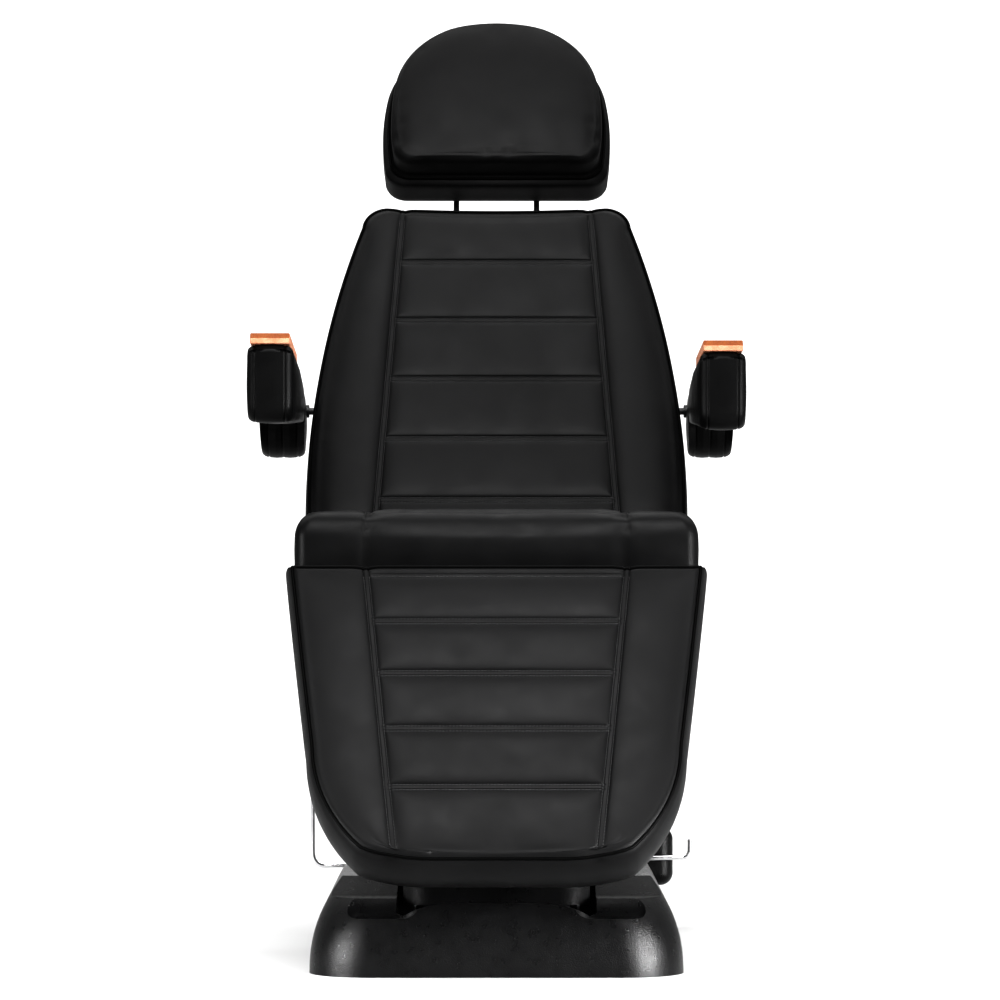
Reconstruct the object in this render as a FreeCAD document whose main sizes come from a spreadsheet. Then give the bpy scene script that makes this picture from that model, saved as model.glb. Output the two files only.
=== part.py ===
import FreeCAD, Part
import math
import os

import Sketcher
from FreeCAD import Placement, Rotation, Vector

# Electric pedicure chair on a moulded base, in millimetres. +Z is up, the chair faces -Y and the
# origin lies on the floor under the middle of the base.

SIZES = {
    # Base frame
    "rail_setback": 55,
    "rail_width": 40,
    "rail_height": 40,
    "rail_wall": 3,
    "rail_offset": 185,
    "rail_clear": 25,
    "cross_height": 25,
    "cross_depth": 50,
    "foot_radius": 25,
    "foot_pad": 10,
    "foot_inset": 45,
    "stud_radius": 6,
    "nut_radius": 10.5,
    "nut_height": 8,
    # Parallelogram lift
    "pivot_height": 75,
    "pivot_setback": 60,
    "pivot_pitch": 220,
    "pivot_radius": 10,
    "play": 0.05,
    "gap": 0.3,
    "lug_inner": 114,
    "lug_thick": 12,
    "lug_radius": 22,
    "arm_length": 520,
    "arm_angle": 25,
    "arm_inner": 92,
    "arm_thick": 20,
    "tie_radius": 18,
    "tie_reach": 265,
    "shaft_head": 4,
    # Base cover
    "cover_half_width": 286,
    "cover_half_length": 450,
    "cover_height": 141,
    "cover_draw": 47,
    "cover_side_power": 2.3,
    "cover_end_power": 2.4,
    "cover_corner": 95,
    "cover_wall": 5,
    "cover_slot": 152,
    "arch_height": 111,
    "arch_half": 72,
    "arch_low": 90,
    "arch_shoulder": 141,
    "arch_bulge": 5,
    "arch_lip": 4,
    "shoulder_front": 116.5,
    "shoulder_run": 90,
    "shoulder_setback": 100,
    "scoop_radius": 26,
    "scoop_drop": 3,
    "scoop_bite": 16,
    "scoop_inner": 142,
    "scoop_outer": 215,
    "post_radius": 9,
    "post_offset": 192,
    "post_setback": 200,
    # Lift cover on the carriage
    "skirt_bottom": 150,
    "skirt_top": 440,
    "skirt_half_bottom": 143,
    "skirt_half_top": 150,
    "apron_lead": 3,
    "apron_bottom": 105,
    "apron_depth": 90,
    "skirt_front_top": -205,
    "skirt_clear": 63.7,
    "skirt_corner": 45,
    "skirt_wall": 4,
    # Carriage and seat frame
    "plate_drop": 30,
    "plate_front": -140,
    "plate_rear": 190,
    "plate_chin": 385,
    "seat_rail_offset": 205,
    "seat_rail_front": -190,
    "seat_rail_rear": 200,
    "seat_frame_top": 570,
    "seat_cross_reach": 120,
    "seat_board_thick": 15,
    "hinge_thick": 12,
    "hinge_radius": 18,
    "hinge_pin": 8,
    "tube": 25,
    "tube_wall": 2,
    # Seat cushion
    "seat_front": -205,
    "seat_rear": 190,
    "seat_half": 316,
    "seat_crest": 705,
    "seat_back_height": 655,
    "seat_corner": 38,
    "seat_panel": 204,
    "seat_level_share": 0.11,
    "seat_tuck": 6,
    "seat_dome": 3,
    "seam_run_out": 20,
    # Backrest
    "lean_angle": 33,
    "back_origin_y": 180,
    "back_origin_z": 600,
    "back_pivot_depth": 46,
    "back_pivot_up": 30,
    "back_bottom": 62,
    "back_half_low": 315,
    "back_half_mid": 301,
    "back_mid": 430,
    "back_half_high": 234,
    "back_shoulder": 731,
    "back_half_top": 190,
    "back_top": 765,
    "back_thick": 95,
    "back_board_thick": 15,
    "back_board_inset": 22,
    "back_rail_top": 600,
    "back_cross_low": 95,
    "back_cross_high": 490,
    "back_first_seam": 154,
    "back_seam_pitch": 123,
    "back_panel_low": 204,
    "back_panel_high": 162,
    "crown": 8,
    "crown_run": 115,
    "cushion_edge": 22,
    "seam_radius": 9,
    "seam_depth": 5,
    # Headrest
    "head_bottom": 855,
    "head_top": 1186,
    "head_half": 201,
    "head_widest": 942,
    "head_cheek_half": 195,
    "head_cheek": 1038,
    "head_temple_half": 164,
    "head_temple": 1115,
    "head_brow_half": 86,
    "head_brow": 1173,
    "head_corner": 36,
    "head_thick": 105,
    "head_board_thick": 13,
    "head_board_inset": 30,
    "rod_radius": 5,
    "rod_offset": 71,
    "rod_bottom": 615,
    "rod_top": 1060,
    "guide_bottom": 640,
    "guide_top": 740,
    "guide_half": 13,
    "clamp_bottom": 900,
    "clamp_height": 60,
    # Legrest
    "leg_origin_y": -333.8,
    "leg_origin_z": 622,
    "leg_pivot_depth": 127,
    "leg_pivot_down": -7,
    "leg_half_top": 315,
    "leg_length": 514,
    "leg_side_half": 299,
    "leg_side": 140,
    "leg_knee_half": 277,
    "leg_knee": 322,
    "leg_calf_half": 248,
    "leg_calf": 433,
    "leg_heel_half": 200,
    "leg_heel": 496,
    "leg_toe_half": 100,
    "leg_thick": 95,
    "leg_belly": 11,
    "leg_board_thick": 12,
    "leg_board_inset": 22,
    "leg_rail_bottom": 382,
    "leg_cross_high": 69,
    "leg_cross_low": 347,
    "leg_first_seam": 14.2,
    "leg_seam_pitch": 88.5,
    "leg_seam_growth": 4.3,
    "leg_panel_top": 201,
    "leg_panel_bottom": 151,
    # Armrests
    "armrest_inner": 328,
    "armrest_width": 75,
    "armrest_front": 20,
    "armrest_nose_top": 978,
    "armrest_nose_bottom": 851,
    "armrest_nose_round": 28,
    "armrest_shoulder": 300,
    "armrest_shoulder_top": 956,
    "armrest_rear": 568,
    "armrest_rear_top": 919,
    "armrest_rear_bottom": 805,
    "armrest_edge": 16,
    "armrest_droop_angle": 1.4,
    "bolt_radius": 6,
    "bolt_up": 420,
    "bolt_bite": 45,
    "collar_radius": 11,
    "collar_length": 6,
    "wood_thick": 18,
    "wood_width": 64,
    "wood_length": 280,
    "wood_edge": 2,
    "wood_bevel": 9,
    # Linear actuators
    "ram_pin": 8,
    "ram_eye": 16,
    "ram_eye_half": 12,
    "ram_tube": 18,
    "ram_rod": 11,
    "ram_case_half": 30,
    "ram_case_start": 20,
    "ram_case_end": 72,
    "motor_radius": 27,
    "motor_offset": 52,
    "motor_length": 118,
    "lever_gap": 13,
    "lever_thick": 8,
    "lever_radius": 11,
    "ram_lane": 65,
    "lift_anchor": 350,
    "lift_pin_reach": 200,
    "lift_tube": 250,
    "lift_slot": 3.9,
    "lift_slot_play": 2.6,
    "lift_slot_shift": -3.65,
    "lift_slot_draw": -2.1,
    "back_anchor_y": -50,
    "back_anchor_z": 417,
    "back_lever": 75,
    "back_lever_angle": 42.5,
    "back_tube": 255,
    "back_slot": 7.2,
    "back_slot_play": 1.7,
    "back_slot_shift": 0.9,
    "back_slot_draw": -0.2,
    "back_retract": 76,
    "leg_anchor_y": 110,
    "leg_anchor_z": 485,
    "leg_lever": 80,
    "leg_lever_angle": 28.5,
    "leg_tube": 215,
    "leg_slot": 5.5,
    "leg_slot_play": 1.3,
    "leg_slot_shift": 5.1,
    "leg_slot_draw": -0.6,
    # Paper roll holder
    "wire_radius": 4,
    "wire_side": 314,
    "wire_start": 60,
    "wire_height": 490,
    "wire_clear": 30,
    "wire_low": 106,
    "wire_rise": 15,
    "wire_end": 331,
    "wire_hook": 152,
    "wire_bend": 20,
    "wire_hook_bend": 12,
    "holder_front": 70,
    "holder_length": 50,
    "holder_half": 12,
    "holder_plate": 18,
    # Control box behind the base
    "box_inner": 200,
    "box_outer": 303,
    "box_clear": 42,
    "box_depth": 62,
    "box_top": 172,
    "box_corner": 22,
    "bracket_thick": 6,
    "bracket_inner": 172,
    "bracket_outer": 250,
    "bracket_reach": 120,
    "bracket_slit": 3,
    "inlet_width": 48,
    "inlet_height": 27,
    "inlet_depth": 8,
}


class Size:
    """A length with the spreadsheet expression that gives it."""

    def __init__(self, value, text):
        self.value = value
        self.text = text

    def __float__(self):
        return float(self.value)

    def __add__(self, other):
        other = as_size(other)
        return Size(self.value + other.value, f"({self.text} + {other.text})")

    def __sub__(self, other):
        other = as_size(other)
        return Size(self.value - other.value, f"({self.text} - {other.text})")

    def __mul__(self, other):
        other = as_size(other)
        return Size(self.value * other.value, f"({self.text} * {other.text})")

    def __truediv__(self, other):
        other = as_size(other)
        return Size(self.value / other.value, f"({self.text} / {other.text})")

    def __radd__(self, other):
        return as_size(other) + self

    def __rsub__(self, other):
        return as_size(other) - self

    def __rmul__(self, other):
        return as_size(other) * self

    def __neg__(self):
        return Size(-self.value, f"(0 - {self.text})")


def as_size(number):
    """Number as a Size."""
    if isinstance(number, Size):
        return number
    return Size(float(number), f"({float(number)!r})")


def cosine(angle):
    """Cosine of an angle in degrees."""
    return Size(math.cos(math.radians(float(angle))), f"cos({angle.text} * 1 deg)")


def sine(angle):
    """Sine of an angle in degrees."""
    return Size(math.sin(math.radians(float(angle))), f"sin({angle.text} * 1 deg)")


class Sheet:
    """The spreadsheet's cells as attributes."""

    def __init__(self, doc):
        cells = doc.addObject("Spreadsheet::Sheet", "Sizes")
        for row, (alias, number) in enumerate(SIZES.items(), start=1):
            cells.set(f"A{row}", alias)
            cells.set(f"B{row}", str(number))
            cells.setAlias(f"B{row}", alias)
        doc.recompute()
        for alias in SIZES:
            setattr(self, alias, Size(float(getattr(cells, alias)), f"Sizes.{alias}"))


doc = FreeCAD.newDocument("pedicure_chair")
s = Sheet(doc)
nodes = []

# Heights of the base cover's sections, as shares of its own height.
COVER_SECTIONS = (0, 0.24, 0.46, 0.66, 0.82, 0.94, 1)

# Sections of a crowned cushion from its board forward: share of its thickness, share of the edge
# rounding that the outline is drawn in by, and share of the belly it takes.
CUSHION_SECTIONS = ((1, 0.55, 1), (0.88, 0.14, 1), (0.5, 0, 1), (0.2, 0.09, 0.7), (0.06, 0.41, 0.4),
                    (0, 1, 0.4))

# Sections of a cushion's crown: share of its height and share of the way in to it.
CROWN_SECTIONS = ((0.6, 0.54), (1, 1))

# Sections of the seat cushion from front to rear: share of its depth, and the draw-in of its sides
# and the sink of its top as shares of its corner.
SEAT_SECTIONS = ((0, 0.37, 0.58), (0.012, 0.13, 0.24), (0.04, 0, 0.05), (0.11, 0, 0), (0.3, 0, 0.03),
                 (0.94, 0, 0.05), (1, 0.21, 0.26))

LEFT = -1
RIGHT = 1
SIDES = (LEFT, RIGHT)
CROSS_SEAMS = 5
X_TURN = Rotation(Vector(0, 1, 0), 90)


def node(label, piece):
    """Name a finished piece and list it for writing."""
    piece.Label = label
    nodes.append(piece)
    return piece


def bind(piece, **sizes):
    """Tie properties of a piece to cells of the sheet."""
    for name, size in sizes.items():
        piece.setExpression(name, as_size(size).text)
    return piece


def at(x, y, z, turn=None):
    """Placement from three sizes and a rotation."""
    return Placement(Vector(float(x), float(y), float(z)), turn or Rotation())


def box(x, y, z, length, width, height):
    """Block with its low corner at x, y, z."""
    piece = doc.addObject("Part::Box", "Block")
    bind(piece, Length=length, Width=width, Height=height)
    piece.Placement = at(x, y, z)
    return piece


def rod_x(x, y, z, radius, length):
    """Round bar along X from x, y, z."""
    piece = doc.addObject("Part::Cylinder", "Bar")
    bind(piece, Radius=radius, Height=length)
    piece.Placement = at(x, y, z, X_TURN)
    return piece


def rod_z(x, y, z, radius, length):
    """Round bar along Z from x, y, z."""
    piece = doc.addObject("Part::Cylinder", "Bar")
    bind(piece, Radius=radius, Height=length)
    piece.Placement = at(x, y, z)
    return piece


def rod_between(start, end, radius):
    """Round bar between two points."""
    axis = end - start
    piece = doc.addObject("Part::Cylinder", "Bar")
    piece.Height = axis.Length
    bind(piece, Radius=radius)
    piece.Placement = Placement(start, Rotation(Vector(0, 0, 1), axis))
    return piece


def fuse(*pieces):
    """Pieces welded into one."""
    weld = doc.addObject("Part::MultiFuse", "Weld")
    weld.Shapes = list(pieces)
    weld.Refine = True
    return weld


def cut(piece, *tools):
    """Piece with tools taken away."""
    tool = tools[0] if len(tools) == 1 else fuse(*tools)
    rest = doc.addObject("Part::Cut", "Cutout")
    rest.Base = piece
    rest.Tool = tool
    return rest


def group(*pieces):
    """Separate solids that share one node."""
    pack = doc.addObject("Part::Compound", "Group")
    pack.Links = list(pieces)
    return pack


def shaped(shape):
    """Feature that holds a shape worked out here."""
    piece = doc.addObject("Part::Feature", "Form")
    piece.Shape = shape
    return piece


def placed(piece, placement):
    """Piece moved as a whole."""
    doc.recompute()
    piece.Placement = placement
    return piece


def side_turn(angle):
    """Rotation that lays local x at an angle in the YZ plane and local z along X."""
    c = math.cos(angle)
    d = math.sin(angle)
    return Rotation(Vector(0, c, d), Vector(0, -d, c), Vector(1, 0, 0), "ZXY")


def link(x, thick, start, end, radius, round_start=True, round_end=True):
    """Flat bar in the YZ plane between two points, with round ends."""
    run = math.hypot(end[0] - start[0], end[1] - start[1])
    angle = math.atan2(end[1] - start[1], end[0] - start[0])
    turn = side_turn(angle)
    bar = doc.addObject("Part::Box", "Flat")
    bar.Length = run
    bind(bar, Width=2 * as_size(radius), Height=thick)
    low = turn.multVec(Vector(0, -float(radius), 0))
    bar.Placement = Placement(Vector(float(x), start[0], start[1]) + low, turn)
    pieces = [bar]
    if round_start:
        pieces.append(rod_x(x, start[0], start[1], radius, thick))
    if round_end:
        pieces.append(rod_x(x, end[0], end[1], radius, thick))
    return fuse(*pieces)


def inner_x(side, inner, thick):
    """Low X of a plate whose inner face is a given way from the middle plane."""
    return inner if side == RIGHT else -(inner + thick)


def rect_tube(across, height, wall, length, axis):
    """Rectangular tube centred on its axis, X or Y or Z, starting at the origin."""
    plane = {"X": "YZ_Plane", "Y": "XZ_Plane", "Z": "XY_Plane"}[axis]
    body = doc.addObject("PartDesign::Body", "Tube")
    sketch = body.newObject("Sketcher::SketchObject", "TubeSection")
    origin = [f for f in body.Origin.OriginFeatures if f.Role == plane][0]
    sketch.AttachmentSupport = [(origin, "")]
    sketch.MapMode = "FlatFace"
    for inset in (as_size(0), as_size(wall)):
        half_a = across / 2 - inset
        half_b = height / 2 - inset
        corners = [(-half_a, -half_b), (half_a, -half_b), (half_a, half_b), (-half_a, half_b)]
        add_polygon(sketch, corners)
    pad = body.newObject("PartDesign::Pad", "TubeRun")
    pad.Profile = sketch
    bind(pad, Length=length)
    pad.Reversed = axis == "Y"
    return body


def add_polygon(sketch, corners):
    """Closed run of lines through corners whose places come from the sheet."""
    count = len(corners)
    first = sketch.GeometryCount
    for i in range(count):
        a = corners[i]
        b = corners[(i + 1) % count]
        start = Vector(float(a[0]), float(a[1]), 0)
        end = Vector(float(b[0]), float(b[1]), 0)
        sketch.addGeometry(Part.LineSegment(start, end), False)
    for i in range(count):
        follower = first + (i + 1) % count
        sketch.addConstraint(Sketcher.Constraint("Coincident", first + i, 2, follower, 1))
    for i, corner in enumerate(corners):
        for kind, size in zip(("DistanceX", "DistanceY"), corner):
            datum = Sketcher.Constraint(kind, -1, 1, first + i, 1, float(size))
            number = sketch.addConstraint(datum)
            sketch.setExpression(f"Constraints[{number}]", as_size(size).text)


def plate(corners, thick, fillet=None):
    """Plate in the YZ plane through corners, from X = 0 to its thickness."""
    body = doc.addObject("PartDesign::Body", "Plate")
    sketch = body.newObject("Sketcher::SketchObject", "PlateOutline")
    origin = [f for f in body.Origin.OriginFeatures if f.Role == "YZ_Plane"][0]
    sketch.AttachmentSupport = [(origin, "")]
    sketch.MapMode = "FlatFace"
    add_polygon(sketch, corners)
    pad = body.newObject("PartDesign::Pad", "PlateRun")
    pad.Profile = sketch
    bind(pad, Length=thick)
    if fillet is not None:
        doc.recompute()
        rounding = body.newObject("PartDesign::Fillet", "PlateEdges")
        rounding.Base = (pad, [f"Edge{i + 1}" for i in range(len(pad.Shape.Edges))])
        bind(rounding, Radius=fillet)
        body.Tip = rounding
    return body


def outline_edges(outline, bend):
    """Edges of a closed outline of lines and arcs, each point passed through bend."""
    edges = []
    here = outline[0][-1]
    for step in outline[1:]:
        there = step[-1]
        if len(step) == 1:
            edges.append(Part.LineSegment(bend(here), bend(there)).toShape())
        else:
            edges.append(Part.Arc(bend(here), bend(step[0]), bend(there)).toShape())
        here = there
    return edges


def centre_of(outline):
    """Middle and half size of an outline's points."""
    across = [step[-1][0] for step in outline]
    up = [step[-1][1] for step in outline]
    middle = ((min(across) + max(across)) / 2, (min(up) + max(up)) / 2)
    half = ((max(across) - min(across)) / 2, (max(up) - min(up)) / 2)
    return middle, half


def inset_bend(outline, inset, depth, axis="Y"):
    """Function that draws an outline point in by inset and lays it at a depth."""
    middle, half = centre_of(outline)
    shrink = (1 - inset / half[0], 1 - inset / half[1])

    def bend(point):
        a = middle[0] + (point[0] - middle[0]) * shrink[0]
        b = middle[1] + (point[1] - middle[1]) * shrink[1]
        if axis == "X":
            return Vector(depth, a, b)
        return Vector(a, depth, b)

    return bend


def pillow(outline, levels, axis="Y"):
    """Solid lofted through an outline drawn in by a different amount at each depth."""
    wires = []
    for depth, inset in levels:
        edges = outline_edges(outline, inset_bend(outline, inset, depth, axis))
        wires.append(Part.Wire(edges))
    return Part.makeLoft(wires, True, True)


def slab(outline, inset, low, high):
    """Flat board of an outline between two depths."""
    edges = outline_edges(outline, inset_bend(outline, inset, low))
    return Part.Face(Part.Wire(edges)).extrude(Vector(0, high - low, 0))


def corner_mid(corner, reach):
    """Middle of a quarter round that leaves corner by reach along both axes."""
    swing = math.sqrt(0.5)
    return (corner[0] + reach[0] * swing, corner[1] + reach[1] * swing)


def mirrored(half):
    """Closed outline from its right half, listed from the bottom middle to the top middle."""
    def flip(point):
        return (-point[0], point[1])

    outline = list(half)
    backwards = list(half)
    for i in range(len(backwards) - 1, 0, -1):
        goal = flip(backwards[i - 1][-1])
        step = backwards[i]
        if i == len(backwards) - 1 and step[-1][0] > 0:
            outline.append((flip(step[-1]),))
        outline.append((goal,) if len(step) == 1 else (flip(step[0]), goal))
    return outline


def rounded_rect(half_width, front, rear, corner, z):
    """Wire of a rectangle with round corners at a height."""
    swing = corner * (1 - math.sqrt(0.5))
    edges = []
    points = [(half_width, front), (half_width, rear), (-half_width, rear), (-half_width, front)]
    inward = [(-1, 1), (-1, -1), (1, -1), (1, 1)]
    arcs = []
    for (x, y), (a, b) in zip(points, inward):
        enter = Vector(x + a * corner, y, z)
        leave = Vector(x, y + b * corner, z)
        mid = Vector(x + a * swing, y + b * swing, z)
        if a * b > 0:
            enter, leave = leave, enter
        arcs.append((enter, mid, leave))
    for i, (enter, mid, leave) in enumerate(arcs):
        edges.append(Part.Arc(enter, mid, leave).toShape())
        edges.append(Part.LineSegment(leave, arcs[(i + 1) % 4][0]).toShape())
    return Part.Wire(edges)


# Places that several pieces share.

rail_top = s.rail_clear + s.rail_height
cross_top = s.rail_clear + s.cross_height
arm_run = s.arm_length * cosine(s.arm_angle)
arm_rise = s.arm_length * sine(s.arm_angle)
front_pivot = s.pivot_setback - s.cover_half_length
lower_pivots = {"front": front_pivot, "rear": front_pivot + s.pivot_pitch}
rail_length = 2 * (s.cover_half_length - s.rail_setback)
upper_height = s.pivot_height + arm_rise
upper_pivots = (lower_pivots["front"] + arm_run, lower_pivots["rear"] + arm_run)
lug_outer = s.lug_inner + s.lug_thick
shaft_half = lug_outer + s.shaft_head
rear_cross = s.lift_anchor
bracket_front = s.cover_half_length - s.bracket_reach
wire_rear = s.cover_half_length + s.wire_clear
apron_front = front_pivot - s.apron_lead
seat_frame_bottom = s.seat_frame_top - s.rail_height
seat_bottom = s.seat_frame_top + s.seat_board_thick
hinge_outer = s.seat_rail_offset
hinge_inner = hinge_outer - s.hinge_thick
knuckle_inner = hinge_outer + s.gap
back_total = s.back_thick + s.back_board_thick
leg_total = s.leg_thick + s.leg_board_thick
lean_turn = Rotation(Vector(1, 0, 0), -float(s.lean_angle))
back_place = at(0, s.back_origin_y, s.back_origin_z, lean_turn)
leg_place = at(0, s.leg_origin_y, s.leg_origin_z, lean_turn)


def lean_point(place, depth, up):
    """Y and Z of a point given by its depth behind a leaning face and its way up it."""
    point = place.multVec(Vector(0, float(depth), float(up)))
    return (point.y, point.z)


back_pivot = lean_point(back_place, s.back_pivot_depth, s.back_pivot_up)
leg_pivot = lean_point(leg_place, s.leg_pivot_depth, -s.leg_pivot_down)
bolt_depth = back_total + s.tube / 2
bolt_place = lean_point(back_place, bolt_depth, s.bolt_up)


def lever_pin(pivot, reach, angle):
    """Y and Z of a lever's pin, hanging at an angle behind straight down."""
    swing = math.radians(float(angle))
    return (pivot[0] + float(reach) * math.sin(swing), pivot[1] - float(reach) * math.cos(swing))


back_pin = lever_pin(back_pivot, s.back_lever, s.back_lever_angle)
leg_pin = lever_pin(leg_pivot, s.leg_lever, s.leg_lever_angle)
arm_swing = math.radians(float(s.arm_angle))


def along_arm(which, reach):
    """Y and Z of a point part of the way along a lift arm."""
    y = float(lower_pivots[which]) + float(reach) * math.cos(arm_swing)
    return (y, float(s.pivot_height) + float(reach) * math.sin(arm_swing))


lift_pin = along_arm("rear", s.lift_pin_reach)


def base_frame():
    """Ladder frame of rails and cross members on four levelling feet."""
    rails = []
    for side in SIDES:
        tube = rect_tube(s.rail_width, s.rail_height, s.rail_wall, rail_length, "Y")
        tube.Placement = at(side * s.rail_offset, -rail_length / 2, s.rail_clear + s.rail_height / 2)
        rails.append(tube)
    node("base_rails", group(*rails))

    span = 2 * s.rail_offset - s.rail_width
    bars = []
    for y in (lower_pivots["front"], lower_pivots["rear"], rear_cross):
        tube = rect_tube(s.cross_depth, s.cross_height, s.rail_wall, span, "X")
        tube.Placement = at(-span / 2, y, s.rail_clear + s.cross_height / 2)
        bars.append(tube)
    node("base_cross_members", group(*bars))

    feet = []
    nuts = []
    reach = rail_length / 2 - s.foot_inset
    for side in SIDES:
        for end in (-1, 1):
            x = side * s.rail_offset
            pad = doc.addObject("Part::Cone", "FootPad")
            bind(pad, Radius1=s.foot_radius, Radius2=s.foot_radius * 0.7, Height=s.foot_pad)
            pad.Placement = at(x, end * reach, 0)
            stud = rod_z(x, end * reach, s.foot_pad, s.stud_radius, s.rail_clear - s.foot_pad)
            feet.append(fuse(pad, stud))
            hexagon = doc.addObject("Part::Prism", "Nut")
            hexagon.Polygon = 6
            bind(hexagon, Circumradius=s.nut_radius, Height=s.nut_height)
            hexagon.Placement = at(x, end * reach, s.rail_clear - s.nut_height)
            bore = rod_z(x, end * reach, s.rail_clear - s.nut_height, s.stud_radius + s.play, s.nut_height)
            nuts.append(cut(hexagon, bore))
    node("levelling_feet", group(*feet))
    node("foot_lock_nuts", group(*nuts))


def pivot_lugs():
    """Upright lugs on the cross members, with their shafts, and the lift actuator's lug."""
    for which, y in lower_pivots.items():
        lugs = []
        for side in SIDES:
            x = inner_x(side, s.lug_inner, s.lug_thick)
            foot = (float(y), float(cross_top))
            top = (float(y), float(s.pivot_height))
            bar = link(x, s.lug_thick, foot, top, s.lug_radius, round_start=False)
            lugs.append(cut(bar, rod_x(x, y, s.pivot_height, s.pivot_radius + s.play, s.lug_thick)))
        node(f"{which}_pivot_lugs", group(*lugs))
        node(f"{which}_pivot_shaft", pivot_shaft(y, s.pivot_height))
    ears = []
    for side in SIDES:
        x = inner_x(side, s.lever_gap, s.lever_thick)
        foot = (float(s.lift_anchor), float(cross_top))
        top = (float(s.lift_anchor), float(s.pivot_height))
        ears.append(link(x, s.lever_thick, foot, top, s.ram_eye, round_start=False))
    reach = s.lever_gap + s.lever_thick
    pin = rod_x(-reach, s.lift_anchor, s.pivot_height, s.ram_pin, 2 * reach)
    node("lift_actuator_lug", fuse(*ears, pin))


def pivot_shaft(y, z):
    """Round shaft through both lugs, with a flat head at each end."""
    bar = rod_x(-shaft_half, y, z, s.pivot_radius, 2 * shaft_half)
    heads = []
    for side in SIDES:
        x = inner_x(side, lug_outer, s.shaft_head)
        heads.append(rod_x(x, y, z, s.pivot_radius + s.shaft_head, s.shaft_head))
    return fuse(bar, *heads)


def lift_arms():
    """Two parallel pairs of flat arms, each pair joined by a round tie."""
    for which in lower_pivots:
        low = along_arm(which, 0)
        high = along_arm(which, s.arm_length)
        for side, name in zip(SIDES, ("left", "right")):
            x = inner_x(side, s.arm_inner, s.arm_thick)
            bar = link(x, s.arm_thick, low, high, s.lug_radius)
            bores = [rod_x(x, p[0], p[1], s.pivot_radius + s.play, s.arm_thick) for p in (low, high)]
            node(f"{which}_arm_{name}", cut(bar, *bores))
        tie = along_arm(which, s.tie_reach)
        tube = rod_x(-s.arm_inner, tie[0], tie[1], s.tie_radius, 2 * s.arm_inner)
        if which == "front":
            node("front_arm_tie", tube)
            continue
        ears = []
        for side in SIDES:
            x = inner_x(side, s.lever_gap, s.lever_thick)
            ears.append(link(x, s.lever_thick, lift_pin, tie, s.lever_radius))
        reach = s.lever_gap + s.lever_thick
        pin = rod_x(-reach, lift_pin[0], lift_pin[1], s.ram_pin, 2 * reach)
        node("rear_arm_tie", fuse(tube, *ears, pin))


def cover_half_width(z):
    """Half width of the bell-shaped base cover at a height."""
    rise = (z / float(s.cover_height)) ** float(s.cover_side_power)
    return float(s.cover_half_width) - float(s.cover_draw) * rise


def cover_half_length(z):
    """Half length of the base cover at a height."""
    rise = (z / float(s.cover_height)) ** float(s.cover_end_power)
    return float(s.cover_half_length) - float(s.cover_draw) * rise


def cover_loft(inset):
    """Bell of rounded rectangles, smaller by inset all round and below its top."""
    top = float(s.cover_height) - inset
    wires = []
    for share in COVER_SECTIONS:
        z = share * top
        half = cover_half_width(z + inset) - inset
        length = cover_half_length(z + inset) - inset
        wires.append(rounded_rect(half, -length, length, float(s.cover_corner) - inset, z))
    return Part.makeLoft(wires, True, False)


def shoulder_wedge(inset):
    """Block above the slope that lowers the shoulders towards the front."""
    front = -float(s.cover_half_length)
    low = float(s.shoulder_front) - inset
    high = float(s.cover_height) - inset
    run = float(s.shoulder_run)
    start = front + float(s.shoulder_setback)
    wide = float(s.cover_half_width)
    beyond = (front * 2, high * 2)
    corners = [(start, low), (start + run, high), (start + run, beyond[1]), beyond, (beyond[0], low)]
    wire = Part.makePolygon([Vector(-wide, y, z) for y, z in corners + corners[:1]])
    return Part.Face(wire).extrude(Vector(2 * wide, 0, 0))


def scoop(side, grow):
    """Rounded groove across the front that cuts back below the edge of one shoulder plate."""
    radius = float(s.scoop_radius)
    drop = float(s.scoop_drop)
    edge = float(s.shoulder_front)
    z = edge - drop
    y = float(s.scoop_bite) - cover_half_length(edge) - math.sqrt(radius**2 - drop**2)
    low = float(s.scoop_inner)
    high = float(s.scoop_outer)
    bar = Part.makeCylinder(radius + grow, high - low, Vector(side * low, y, z), Vector(side, 0, 0))
    ends = [Part.makeSphere(radius + grow, Vector(side * x, y, z)) for x in (low, high)]
    return bar.fuse(ends)


def arch_slot():
    """Prism that opens the cover's top for the lift and leaves the arched rim in front."""
    half = float(s.cover_slot)
    high = 2 * float(s.cover_height)
    foot = float(s.arch_low)
    lip = foot + float(s.arch_lip)
    rim = float(s.arch_height)
    flat = float(s.arch_half)
    shoulder = float(s.arch_shoulder)
    mid_x = (flat + shoulder) / 2
    mid_z = (rim + foot) / 2 + float(s.arch_bulge)
    front = -2 * float(s.cover_half_length)
    outline = [((half, lip),), ((half, high),), ((-half, high),), ((-half, lip),),
               ((-shoulder, foot),), ((-mid_x, mid_z), (-flat, rim)), ((flat, rim),),
               ((mid_x, mid_z), (shoulder, foot)), ((half, lip),)]
    edges = outline_edges(outline, lambda p: Vector(p[0], front, p[1]))
    length = -front + float(s.cover_half_length) - 2 * float(s.cover_draw)
    return Part.Face(Part.Wire(edges)).extrude(Vector(0, length, 0))


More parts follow.
